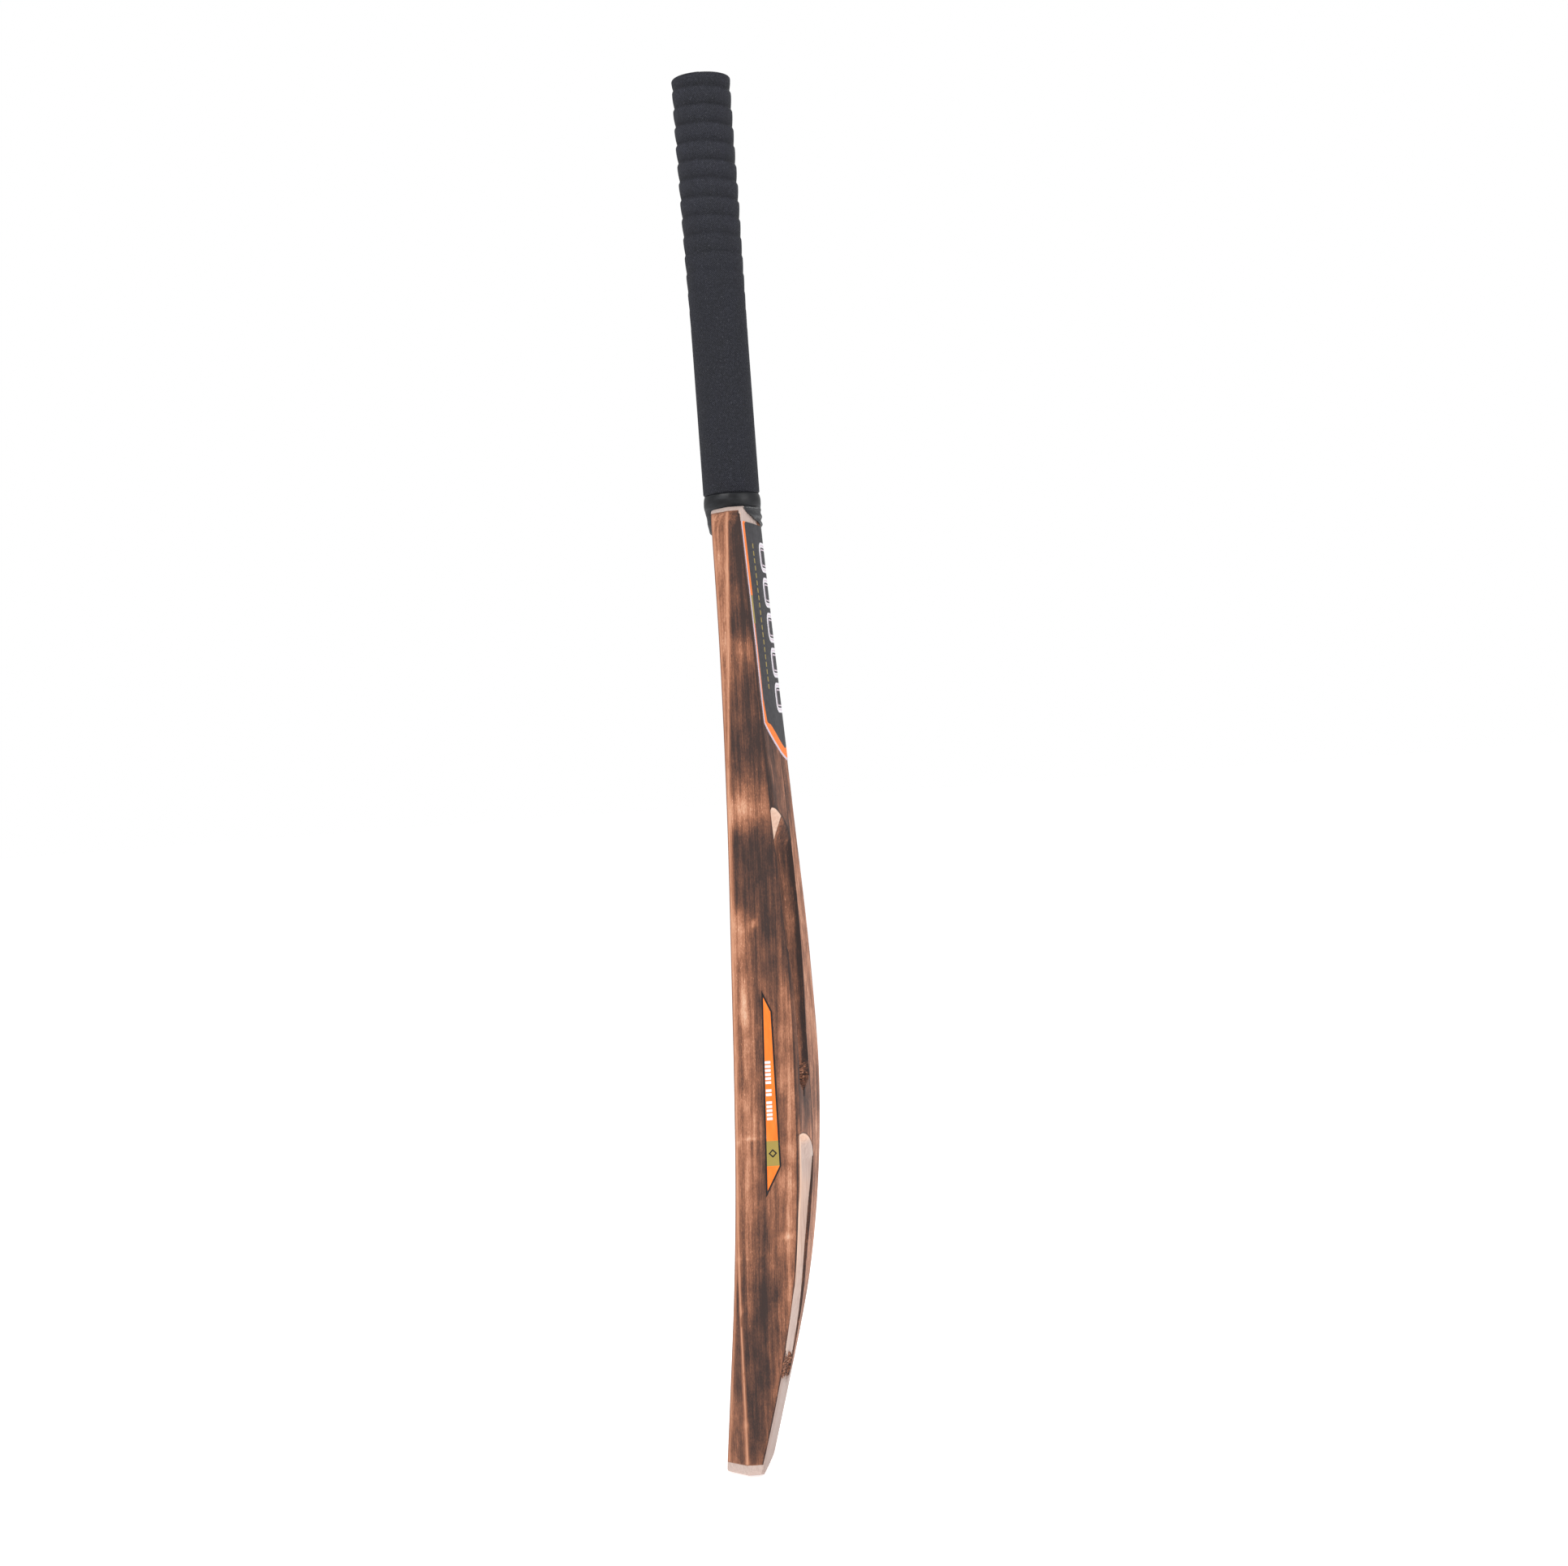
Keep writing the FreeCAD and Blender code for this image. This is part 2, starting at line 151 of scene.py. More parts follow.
def addMark(piece, name, values):
    # a number for every vertex, which the materials read by name
    layer = piece.data.attributes.new(name, "FLOAT", "POINT")
    layer.data.foreach_set("value", np.asarray(values, np.float32).ravel())


def vertexPlaces(piece):
    places = np.empty(len(piece.data.vertices) * 3)
    piece.data.vertices.foreach_get("co", places)
    return places.reshape(-1, 3).T / mm


# ---- the blade's form: each curve runs up the blade, measured behind the handle's axis
bladeForm = dict(
    height=[0, 50, 110, 170, 230, 300, 400, 500, 582],
    face=[-45.7, -39.8, -32.9, -27.5, -23.7, -20.1, -15.4, -12.7, -12.2],
    facet=[-32.4, -30.9, -29.2, -26.3, -22.5, -18.9, -14.2, -7.0, -1.9],
    corner=[-25.3, -10.9, 3.0, 9.9, 13.0, 14.8, 11.1, 8.0, 4.6],
    spine=[-18.4, -3.9, 11.9, 21.8, 26.8, 26.9, 23.0, 18.8, 15.8],
    bevelAcross=3.0,      # back corner bevel
    bevelBack=2.1,        # fading to bevelTop under the label
    bevelTop=0.7,
    spineHalf=4.0,
    shoulderRadius=18.0,
    toeRadius=11.0,
    edgeRound=0.7,        # worn rounding of the long corners
    topRound=2.6,         # rounding where the shoulders meet face and back
    toeRound=2.4,         # rounding of the toe at the face
    toeBackUp=2.0,        # eased edge of the toe at the back
    toeBackSlope=0.6,
    easedHeight=(390, 470),               # the bevel shrinks to bevelTop over these heights
    easedAcross=(22, 51),                 # the flank sinks with it, more towards the edge
    flankLift=0.12,                       # these two make up for the rounding between
    spineLift=0.42,                       # bevel, flank and spine
    spineRound=500.0,                     # twice the radius of the spine's crest
    flowHeight=[0, 110, 230, 400, 582],
    flow=[0, 3.9, 12.3, 20.0, 23.6],      # how the grain wanders behind the axis
)


def curveAt(name, z):
    # one of the blade's curves at a height
    return smoothCurve(z, bladeForm["height"], bladeForm[name])


def widthAt(z):
    # half the width, rounded off by a quarter circle at the shoulders and at the toe
    shoulder = bladeForm["shoulderRadius"]
    toe = bladeForm["toeRadius"]
    up = np.clip(z - (bladeTop - shoulder), 0, shoulder)
    down = np.clip(toe - z, 0, toe)
    return (halfWidth - shoulder + np.sqrt(shoulder**2 - up**2)
            - toe + np.sqrt(toe**2 - down**2))


def plainBack(x, z):
    # the back before the scoops: the lowest of bevel, straight flank and rounded spine
    form = bladeForm
    x = np.abs(x)
    low = np.clip(form["toeBackUp"] - z, 0, None)
    z = z + low
    corner = curveAt("corner", z)
    spine = curveAt("spine", z)
    across, back, flat = form["bevelAcross"], form["bevelBack"], form["spineHalf"]
    eased = ((back - form["bevelTop"]) * smoothStep(z, *form["easedHeight"])
             * smoothStep(x, *form["easedAcross"]))
    bevel = corner + (halfWidth - x) * back / across
    slope = (spine - corner - back) / (halfWidth - across - flat)
    flank = corner + back + (halfWidth - across - x) * slope - eased + form["flankLift"]
    crest = spine + form["spineLift"] - x**2 / form["spineRound"]
    return softMin(softMin(bevel, flank, 0.3), crest, 0.5) - low * form["toeBackSlope"]


# ---- scoops: a long one above and one below on each side; rims and depths run up the blade
scoopForm = dict(
    farHeight=[0, 50, 66, 90, 110, 130, 150, 168, 190, 215, 238, 260, 300, 346, 582],
    far=[22, 20, 18, 20, 24, 25.5, 22.5, 20.5, 20.5, 24, 27, 29, 26, 21.5, 21.5],
    nearHeight=[0, 130, 152, 170, 200, 240, 270, 305, 582],
    near=[52.8, 52.8, 51.8, 50.5, 50.3, 49.0, 50.4, 52.8, 52.8],
    farWall=8.0,          # how far in from its rim the far wall reaches the floor
    nearWall=17.0,
    tornWall=5.0,
    parting=215.0,        # height between the two scoops
    taperHeight=[54, 75, 110, 150, 204],
    taper=[0.35, 0.55, 0.8, 1.0, 1.0],    # the lower scoop grows shallow towards its tip
    upper=dict(
        top=400.0,        # highest point, at the edge
        arch=20.0,        # length of the curve that ends it
        bend=1.5,         # 1 is a straight slant, 2 an oval
        archWall=9.0,
        tip=228.0,        # torn lower end
        tipX=40.0,
        slope=0.62,       # how steeply the torn end rises from its tip
        seed=11,
        splinters=(6, 11),        # they fade out between these distances above the torn end
        deep=7.6,
    ),
    lower=dict(top=203.5, arch=17.0, bend=2.0, archWall=6.0, tip=51.0, tipX=24.0, slope=0.3, seed=21,
               splinters=(12, 20), deep=6.6),
)
upperScoop = scoopForm["upper"]
lowerScoop = scoopForm["lower"]


def quarterWall(inward, reach):
    # rises from 0 at the rim to 1 at the reach, along a quarter circle
    f = np.clip(inward / reach, 0, 1)
    return np.sqrt(1 - (1 - f) ** 2)


def rims(z):
    # how far from the middle a scoop's far rim, by the spine, and near rim, by the edge, run at a height
    far = smoothCurve(z, scoopForm["farHeight"], scoopForm["far"])
    near = smoothCurve(z, scoopForm["nearHeight"], scoopForm["near"])
    return far, near


def archInward(x, z, scoop, far, near):
    # distance inside a rounded curve that is highest at the near rim and meets the far rim lower down;
    # below the curve's foot it grows by another 1.5 for each millimetre
    bend = scoop["bend"]
    foot = scoop["top"] - scoop["arch"]
    across = np.clip((near + 1 - x) / (near + 1 - far), 0, 2)
    up = np.clip((z - foot) / scoop["arch"], 0, 2)
    inside = 1 - (across**bend + up**bend) ** (1 / bend)
    return inside * (near - far) + 1.5 * np.clip(foot - z, 0, 20)


def tornInward(x, z, scoop):
    # height above a ragged V-shaped end
    ragged = 2.2 * ripple(scoop["seed"], x * 1.1) + 1.1 * ripple(scoop["seed"] + 1, x * 3.7)
    return z - scoop["tip"] - scoop["slope"] * np.abs(x - scoop["tipX"]) - ragged


def endWalls(x, z, scoop, far, near):
    # the arch's wall, level at its top and bottom, times a quarter-circle wall at the torn end
    arch = smoothStep(archInward(x, z, scoop, far, near), 0, scoop["archWall"])
    return arch * quarterWall(tornInward(x, z, scoop), scoopForm["tornWall"])


def scoopDepth(x, z):
    # quarter-circle walls at the far and near rims times the walls at the ends times the depth
    x = np.abs(x)
    far, near = rims(z)
    sides = quarterWall(x - far, scoopForm["farWall"]) * quarterWall(near - x, scoopForm["nearWall"])
    upper = upperScoop["deep"] * endWalls(x, z, upperScoop, far, near)
    taper = smoothCurve(z, scoopForm["taperHeight"], scoopForm["taper"])
    lower = lowerScoop["deep"] * (endWalls(x, z, lowerScoop, far, near) * taper)
    return sides * np.where(z > scoopForm["parting"], upper, lower)


def tornMask(x, z):
    # 1 in the ragged patches at the lower ends of the scoops
    x = np.abs(x)
    inside = scoopDepth(x, z) > 0.02
    upper = 1 - smoothStep(tornInward(x, z, upperScoop), *upperScoop["splinters"])
    lower = 1 - smoothStep(tornInward(x, z, lowerScoop), *lowerScoop["splinters"])
    return inside * np.where(z > scoopForm["parting"], upper, lower)


def bladeRows():
    # heights of the rows: even, but closer together at both ends and at the scoops' ends
    finer = [(0, 12, 0.55), (50, 80, 0.9), (186, 204, 0.8),
             (226, 246, 0.8), (384, 402, 0.7), (568, 582, 0.5)]
    marks = [0.0]
    while marks[-1] < bladeTop - 0.3:
        step = next((s for low, high, s in finer if low <= marks[-1] < high), 2.25)
        marks.append(marks[-1] + step)
    marks[-1] = bladeTop
    return np.array(marks)


def roundCorner(before, corner, after, trim, count):
    # curve that leaves each leg at the trim distance and bends towards the corner
    def towards(other):
        leg = other - corner
        size = np.linalg.norm(leg, axis=-1, keepdims=True)
        return corner + leg * np.minimum(trim, 0.45 * size) / np.maximum(size, 1e-6)
    start, end = towards(before), towards(after)
    s = np.linspace(0, 1, count)[None, :, None]
    mid = corner[:, None]
    return (1 - s) ** 2 * start[:, None] + 2 * s * (1 - s) * mid + s**2 * end[:, None]


def bladeSections():
    # one closed outline for each height: face, facet, edge and back on the right, then mirrored
    z = bladeRows()
    face, facet, corner = (curveAt(name, z) for name in ("face", "facet", "corner"))
    topRound, toeRound, edgeRound = (bladeForm[key] for key in ("topRound", "toeRound", "edgeRound"))
    topIn = np.clip(z - (bladeTop - topRound), 0, topRound)
    toeIn = np.clip(toeRound - z, 0, toeRound)
    inset = topRound - np.sqrt(topRound**2 - topIn**2)
    toeInset = toeRound - np.sqrt(toeRound**2 - toeIn**2)
    width = widthAt(z) - inset - 0.5 * toeInset
    front = face + inset + toeInset
    chamferIn = facet - face
    # on the shoulders the back corner follows the flank down to the narrower width
    cornerBack = np.minimum(corner, plainBack(width, z) - 0.2) - inset - 0.3 * toeInset
    stack = lambda across, back: np.stack([across, back], axis=-1)
    middle = stack(0 * z, front)
    frontPoint = stack(np.maximum(width - chamferIn, 6), front)
    facetPoint = stack(width, np.minimum(facet, cornerBack - 2))
    cornerPoint = stack(width, cornerBack)
    # columns across the back gather at the scoops' rims
    far, near = rims(z)
    start = width - edgeRound
    near = np.minimum(near, start - 0.4)
    runs = []
    for low, high, count, ends in ((start, near, 3, 0), (near, far, 38, 0.35), (far, 0 * z, 16, 0)):
        f = np.arange(count) / count
        f = f - ends * np.sin(2 * math.pi * f) / (2 * math.pi)
        runs.append(low[:, None] + (high - low)[:, None] * f)
    across = np.concatenate(runs, axis=1)
    tall = np.repeat(z[:, None], across.shape[1], axis=1)
    torn = tornMask(across, tall)
    coarse = ripple(31, across * 2.6, tall * 0.9)
    fine = ripple(32, across * 5.5, tall * 2.2)
    splinters = torn * (0.75 * coarse + 0.45 * fine)
    crease = 0.3 * np.exp(-((across - far[:, None]) / 0.7) ** 2) * smoothStep(tall, 396, 402)
    back = plainBack(across, tall) - scoopDepth(across, tall) + splinters - crease - inset[:, None]
    backRun = np.stack([across, back], axis=-1)

    def straight(start, end, count):
        f = (np.arange(1, count + 1) / (count + 1))[None, :, None]
        return start[:, None] + (end - start)[:, None] * f

    frontRound = roundCorner(middle, frontPoint, facetPoint, 1.6, 6)
    facetRound = roundCorner(frontPoint, facetPoint, cornerPoint, 0.9, 5)
    cornerRound = roundCorner(facetPoint, cornerPoint, backRun[:, 0], edgeRound, 5)
    half = np.concatenate([
        straight(middle, frontRound[:, 0], 22),
        frontRound,
        straight(frontRound[:, -1], facetRound[:, 0], 4),
        facetRound,
        straight(facetRound[:, -1], cornerRound[:, 0], 22),
        cornerRound[:, :-1],
        backRun,
    ], axis=1)
    spinePoint = stack(0 * z, plainBack(0 * z, z) - inset)[:, None]
    mirror = half[:, ::-1] * np.array([-1, 1])
    outline = np.concatenate([middle[:, None], half, spinePoint, mirror], axis=1)
    tall = np.repeat(z[:, None], outline.shape[1], axis=1)
    return np.stack([outline[..., 0], outline[..., 1] + axisY, tall], axis=-1)


spliceForm = dict(topHalf=14.5, tipHalf=1.5, tip=452.0)   # the V-shaped slot for the handle's tongue


def cutSlot(piece):
    # takes the V out of the blade
    form = spliceForm
    slope = (form["topHalf"] - form["tipHalf"]) / (bladeTop - form["tip"])
    over = bladeTop + 3
    wide = form["tipHalf"] + slope * (over - form["tip"])
    tip, narrow = form["tip"], form["tipHalf"]
    outline = np.array([(-narrow, tip), (narrow, tip), (wide, over), (-wide, over)])
    levels = axisY + np.array([-40.0, 45.0])      # through the whole thickness
    across, tall = outline.T
    grid = np.stack([np.stack([across, 0 * across + y, tall], axis=-1) for y in levels])
    cutter = loopPiece("slotCutter", grid)
    tool = piece.modifiers.new("slot", "BOOLEAN")
    tool.object = cutter
    tool.solver = "EXACT"
    graph = bpy.context.evaluated_depsgraph_get()
    cut = bpy.data.meshes.new_from_object(piece.evaluated_get(graph))
    piece.modifiers.clear()
    piece.data = cut
    bpy.data.objects.remove(cutter)
    cut.set_sharp_from_angle(angle=math.radians(35))


def makeBlade():
    piece = loopPiece("bladeWillow", bladeSections())
    cutSlot(piece)
    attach(piece, "root")
    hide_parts("blade")
    print("blade:", len(piece.data.polygons), "faces")
    return piece


# ---- the grip: a tube with tilted sawtooth rings and a rounded open end
gripForm = dict(
    radius=17.35,
    ringPitch=11.25,
    ringTop=841.0,        # crest of the highest ring
    rise=0.85,
    fadeLow=690.0,        # the rings have died away here
    tilt=0.075,           # rings stand higher at the front
    lip=1.6,              # rounding of the open end
    mouth=12.4,
)


def gripRadius(turn, z):
    # base radius plus a ring that swells slowly downward from each crest and drops quickly above it
    lean = -gripForm["tilt"] * gripForm["radius"] * np.sin(turn)
    phase = (gripForm["ringTop"] + lean + 0.9 * ripple(3, turn, z / 40) - z) / gripForm["ringPitch"]
    f = phase - np.floor(phase)
    tooth = np.cos(math.pi / 2 * np.clip(f / 0.8, 0, 1)) ** 0.8 + smoothStep(f, 0.8, 1.0)
    fade = smoothStep(z, gripForm["fadeLow"], 800)
    strength = gripForm["rise"] * (0.3 + 0.7 * fade) * smoothStep(z, gripForm["fadeLow"] - 20, 740)
    strength = strength * (1 + 0.25 * ripple(5, turn * 1.2, z / 12))
    cuff = 0.2 * smoothStep(z, 843, 847)
    swell = 0.15 * ripple(7, turn, z / 60)
    # the second value is painted shade for the rubber: low in the notches between the rings, high on their
    # crests, 0.5 where the rings have died away
    return gripForm["radius"] + strength * tooth + cuff + swell, 0.5 + (tooth - 0.5) * fade


def makeGrip():
    # rows up the outside, over a quarter-circle lip, then down the bore, which narrows to the twine
    turn = fullTurn(176)
    low, high, lip = gripLow[2], gripHigh[2], gripForm["lip"]
    rise = np.concatenate([[low], np.linspace(low + 0.8, high - lip, 330)])
    outer, crest = gripRadius(turn[None], rise[:, None])
    outer[0] -= 0.7
    rim = np.linspace(0, math.pi / 2, 7)[1:]
    rimOut = outer[-1][None] - lip * (1 - np.cos(rim))[:, None]
    rimUp = high - lip + lip * np.sin(rim)
    mouth = gripForm["mouth"]
    inner = np.array([(mouth + 0.7, high), (mouth, high - 0.7), (mouth, caneTop),
                      (twineRadius, caneTop), (twineRadius, low)])
    radius = np.concatenate([outer, rimOut, np.repeat(inner[:, :1], len(turn), axis=1)])
    tall = np.concatenate([rise, rimUp, inner[:, 1]])[:, None] + 0 * turn[None]
    grid = aroundAxis(radius, turn, tall)
    piece = loopPiece("gripRubber", grid, ring=True)
    rest = np.full((len(grid) - len(crest), len(turn)), 0.5)
    # the crest mark is painted shade: the rubber's material darkens the notches between the rings and
    # lightens their crests
    addMark(piece, "crest", np.concatenate([crest, rest]))
    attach(piece, "root")
    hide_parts("rubber_grip")
    print("grip:", len(piece.data.polygons), "faces")
    return piece


# ---- tape below the grip: a smooth band, and a skirt with a tongue over the face and one over the back
tapeForm = dict(
    radius=17.35,
    swell=0.45,           # how far the band stands out
    frontDrop=12.5,       # length of the tongues below the shoulders
    backDrop=9.5,
    thick=0.9,
    flare=1.7,            # widening of the tongue over the back
)


def makeBand():
    # a ring of tape: straight inside, outside swelling like a shallow arc
    turn = fullTurn(128)
    low, high = bandLow[2], bandHigh[2]
    f = np.linspace(0, 1, 22)
    rise = low + (high - low) * f
    arc = np.sin(math.pi * f)
    arc = np.sign(arc) * np.abs(arc) ** 0.45
    taper = 0.55 * f[:, None] ** 2
    outer = tapeForm["radius"] - 0.55 - taper + (tapeForm["swell"] + 0.5) * arc[:, None] + 0 * turn
    outer = outer + 0.12 * ripple(41, turn[None] * 1.5, rise[:, None] / 2.5) * arc[:, None]
    radius = np.concatenate([outer, twineRadius + 0.02 + np.zeros((2, len(turn)))])
    tall = np.concatenate([rise, [high, low]])[:, None] + 0 * turn
    piece = loopPiece("collarTape", aroundAxis(radius, turn, tall), ring=True, sharp=60)
    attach(piece, "root")
    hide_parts("collar_band")
    return piece


def makeWrap():
    # a skin that hangs from under the band; each column ends where the tongue's edge is
    turn = fullTurn(192)
    top = bandLow[2] + 0.6
    facing = np.abs(np.sin(turn))
    backward = np.sin(turn) > 0
    drop = np.where(np.sin(turn) < 0, tapeForm["frontDrop"], tapeForm["backDrop"])
    tongue = np.where(backward, np.clip((facing - 0.15) / 0.8, 0, 1), smoothStep(facing, 0.30, 0.56))
    bottom = bladeTop + 0.4 - drop * tongue + 0.5 * ripple(51, turn * 3)
    f = np.linspace(0, 1, 40)[:, None]
    rise = top + (bottom - top)[None] * f
    lean = np.clip((top - rise) / 13, 0, 1)
    shift = 1.2 * lean
    radius = tapeForm["radius"] - 0.15 - 0.9 * lean
    creases = 0.28 * ripple(53, turn[None] * 2.2, rise / 1.5) * smoothStep(f, 0.05, 0.3)
    folds = 0.35 * np.sin(rise * 1.35 + 2.5 * np.cos(turn)[None]) * smoothStep(np.sin(turn)[None], 0.3, 0.9)
    radius = radius + (creases + folds) * smoothStep(f, 0, 0.2)
    radius = radius - 0.5 * smoothStep(f, 0.93, 1.0)
    flare = 1 + tapeForm["flare"] * smoothStep(rise, bladeTop + 2.5, bladeTop - 2) * backward
    across, behind = radius * np.cos(turn) * flare, shift + radius * np.sin(turn)
    # over the shoulders it lies on the wood
    level = np.minimum(rise, bladeTop - 0.2)
    over = smoothStep(rise, bladeTop + 1.5, bladeTop - 0.5)
    proud = 0.45 + 0.5 * (creases + folds)
    backSkin = np.maximum(behind, plainBack(across, level) + proud)
    faceSkin = np.minimum(behind, curveAt("face", level) - proud)
    skin = np.where(backward, backSkin, faceSkin)
    behind = behind + over * (skin - behind) * smoothStep(facing, 0.1, 0.2)
    outerGrid = np.stack([across, axisY + behind, rise], axis=-1)
    shrink = 1 - tapeForm["thick"] / radius
    innerBehind = axisY + behind - np.sin(turn) * tapeForm["thick"]
    innerGrid = np.stack([across * shrink, innerBehind, rise], axis=-1)
    grid = np.concatenate([outerGrid, innerGrid[::-1]])
    piece = loopPiece("shoulderTape", grid, ring=True, sharp=60)
    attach(piece, "root")
    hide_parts("shoulder_wrap")
    return piece


# ---- stickers: thin films that follow the wood
backLabel = dict(
    thick=0.3,
    halfWidth=50.8,
    tip=427.0,            # lowest point
    side=450.0,           # full width from here up
    top=571.8,
    corner=0.8,
    curve=0.6,            # 1 would make the lower end a straight V
)


def labelHalf(z):
    # half the label's width: constant, with cut upper corners and a pointed oval at the lower end
    form = backLabel
    f = np.clip((z - form["tip"]) / (form["side"] - form["tip"]), 0, 1)
    oval = form["halfWidth"] * f ** form["curve"]
    topCut = form["halfWidth"] + np.clip(form["top"] - form["corner"] - z, None, 0)
    return np.minimum(oval, topCut)


def makeBackLabel():
    # a film on the plain back: its rows spread over the half width, doubled by the thickness
    form = backLabel
    f = np.linspace(0, 1, 150) ** 1.35
    z = form["tip"] + 0.05 + (form["top"] - form["tip"] - 0.05) * f
    s = np.linspace(-1, 1, 91)
    across = labelHalf(z)[:, None] * s
    tall = np.repeat(z[:, None], len(s), axis=1)
    wood = plainBack(across, tall)
    upper = np.stack([across, axisY + wood + form["thick"], tall], axis=-1)
    lower = np.stack([across, axisY + wood - 0.1, tall], axis=-1)
    piece = loopPiece("backLabelFilm", np.concatenate([upper, lower[:, ::-1]], axis=1))
    x, z = vertexPlaces(piece)[[0, 2]]
    lean = labelHalf(z + 0.5) - labelHalf(z - 0.5)
    side = (labelHalf(z) - np.abs(x)) / np.hypot(1, lean)
    addMark(piece, "margin", np.minimum(side, 0.95 * (z - form["tip"]) + np.abs(x) * 0.2))
    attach(piece, "root")
    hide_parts("back_label")
    return piece


edgeLabel = dict(
    corners=[(-2.8, 291.0), (2.6, 278.0), (1.2, 185.5), (-9.1, 167.5)],   # behind the handle's axis, height
    thick=0.3,
)


def marginInside(behind, up, corners):
    # distance to the nearest side of the outline
    gaps = []
    for start, end in zip(corners, np.roll(corners, -1, axis=0)):
        side = (end - start) / np.linalg.norm(end - start)
        gaps.append(np.abs((behind - start[0]) * side[1] - (up - start[1]) * side[0]))
    return np.minimum.reduce(gaps)


def makeEdgeLabel(side, name, node):
    # rows up the sticker, each running between its two sides, raised off the edge by its thickness
    tip, backHigh, backLow, foot = np.array(edgeLabel["corners"])
    up = np.linspace(foot[1] + 0.3, tip[1] - 0.3, 124)
    left = np.interp(up, [foot[1], tip[1]], [foot[0], tip[0]])
    along, across = np.array([foot, backLow, backHigh, tip]).T[::-1]
    right = np.interp(up, along, across)
    s = np.linspace(0, 1, 26)
    behind = left[:, None] + (right - left)[:, None] * s
    tall = np.repeat(up[:, None], len(s), axis=1)
    sheet = lambda out: np.stack([0 * behind + side * (halfWidth + out), axisY + behind, tall], axis=-1)
    piece = loopPiece(name, np.concatenate([sheet(edgeLabel["thick"]), sheet(-0.1)[:, ::-1]], axis=1))
    y, z = vertexPlaces(piece)[1:]
    addMark(piece, "margin", marginInside(y - axisY, z, np.array(edgeLabel["corners"])))
    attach(piece, "root")
    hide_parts(node)
    return piece


# ---- floor, light and camera
def makeFloor():
    turn = fullTurn(96)
    rim = 60000.0
    ring = np.stack([rim * np.cos(turn), rim * np.sin(turn), 0 * turn - 0.4], axis=-1)
    floor = makePiece("paleFloor", ring, [list(range(len(turn)))])
    return floor


lightForm = dict(world=0.5, keyPower=30.0, fillPower=12.0)


def makeLight():
    scene = bpy.context.scene
    scene.world = bpy.data.worlds.new("paleStudio")
    scene.world.use_nodes = True
    tree = scene.world.node_tree
    sky = tree.nodes["Background"]
    sky.inputs["Color"].default_value = (1, 1, 1, 1)
    # seen directly the surroundings are white; as light they are softer
    seen = addNode(tree, "ShaderNodeLightPath").outputs["Is Camera Ray"]
    values = {"Value": seen, "To Min": lightForm["world"], "To Max": 1.0}
    strength = addNode(tree, "ShaderNodeMapRange", values).outputs[0]
    tree.links.new(strength, sky.inputs["Strength"])
    scene.view_settings.view_transform = "Standard"
    scene.view_settings.look = "None"
    middle = Vector((0, axisY * mm, 0.43))
    for name, place, power, size in (
        ("keyLight", (1.6, -1.1, 1.9), lightForm["keyPower"], 1.4),
        ("fillLight", (1.2, 1.6, 0.9), lightForm["fillPower"], 1.2),
        ("rearLight", (-1.6, 0.2, 1.6), lightForm["fillPower"], 1.4),
    ):
        data = bpy.data.lights.new(name, "AREA")
        data.energy = power
        data.size = size
        lamp = bpy.data.objects.new(name, data)
        scene.collection.objects.link(lamp)
        lamp.location = middle + Vector(place)
        lamp.visible_camera = False
        lamp.rotation_mode = "QUATERNION"
        lamp.rotation_quaternion = (middle - lamp.location).to_track_quat("-Z", "Y")


cameraForm = dict(distance=1.6, behind=1.0, height=0.4133, aside=0.0190, lens=59.52, lean=4.285)


def makeCamera():
    # level, a degree behind the edge, rolled so that the handle leans
    form = cameraForm
    turn = math.radians(form["behind"])
    away = Vector((math.cos(turn), math.sin(turn), 0))
    right = Vector((-math.sin(turn), math.cos(turn), 0))
    data = bpy.data.cameras.new("studioCamera")
    data.lens = form["lens"]
    data.sensor_width = 36
    camera = bpy.data.objects.new("studioCamera", data)
    bpy.context.scene.collection.objects.link(camera)
    middle = Vector((0, axisY * mm, form["height"]))
    camera.location = middle + form["distance"] * away + form["aside"] * right
    camera.rotation_mode = "QUATERNION"
    level = (-away).to_track_quat("-Z", "Y")
    roll = Vector((0, 0, 1))
    camera.rotation_quaternion = level @ Quaternion(roll, math.radians(-form["lean"]))
    bpy.context.scene.camera = camera


# ---- how deeply the wood is scorched: 0 pale, 1 black, listed up the blade
burnEdge = dict(
    height=[0, 10, 40, 100, 146, 176, 235, 294, 306, 322, 338, 346, 364,
            382, 390, 398, 408, 424, 472, 486, 497, 508, 522, 571, 582],
    front=[.38, .66, .94, .90, .68, .52, .46, .38, .24, .18, .28, .72, .80,
           .76, .40, .18, .34, .70, .70, .58, .42, .64, .62, .60, .50],
    middle=[.38, .70, .88, .80, .66, .58, .54, .58, .74, .78, .82, .85, .88,
            .84, .55, .26, .40, .72, .74, .62, .48, .74, .76, .80, .60],
    back=[.38, .46, .54, .52, .52, .46, .50, .58, .74, .80, .84, .88, .90,
          .88, .66, .50, .60, .84, .84, .76, .66, .82, .86, .84, .60],
    facet=[.38, .60, .70, .66, .54, .42, .36, .34, .20, .12, .18, .34, .38,
           .36, .18, .12, .22, .46, .48, .36, .26, .36, .36, .40, .40],
    turn=.45,             # how far over the edge from the facet the middle column stands
)
burnBack = dict(
    height=[0, 60, 90, 130, 165, 203, 214, 228, 240, 300, 345, 372, 385, 400, 425, 450, 582],
    corner=[.35, .45, .50, .52, .55, .60, .80, .84, .80, .80, .84, .88, .90, .84, .86, .84, .80],
    middle=[.35, .45, .45, .48, .50, .55, .78, .80, .62, .64, .72, .94, .95, .60, .62, .66, .60],
    spine=[.35, .38, .36, .34, .36, .40, .52, .46, .40, .34, .38, .40, .42, .48, .52, .50, .45],
    turn=.35,             # the same between the corner and the spine
)
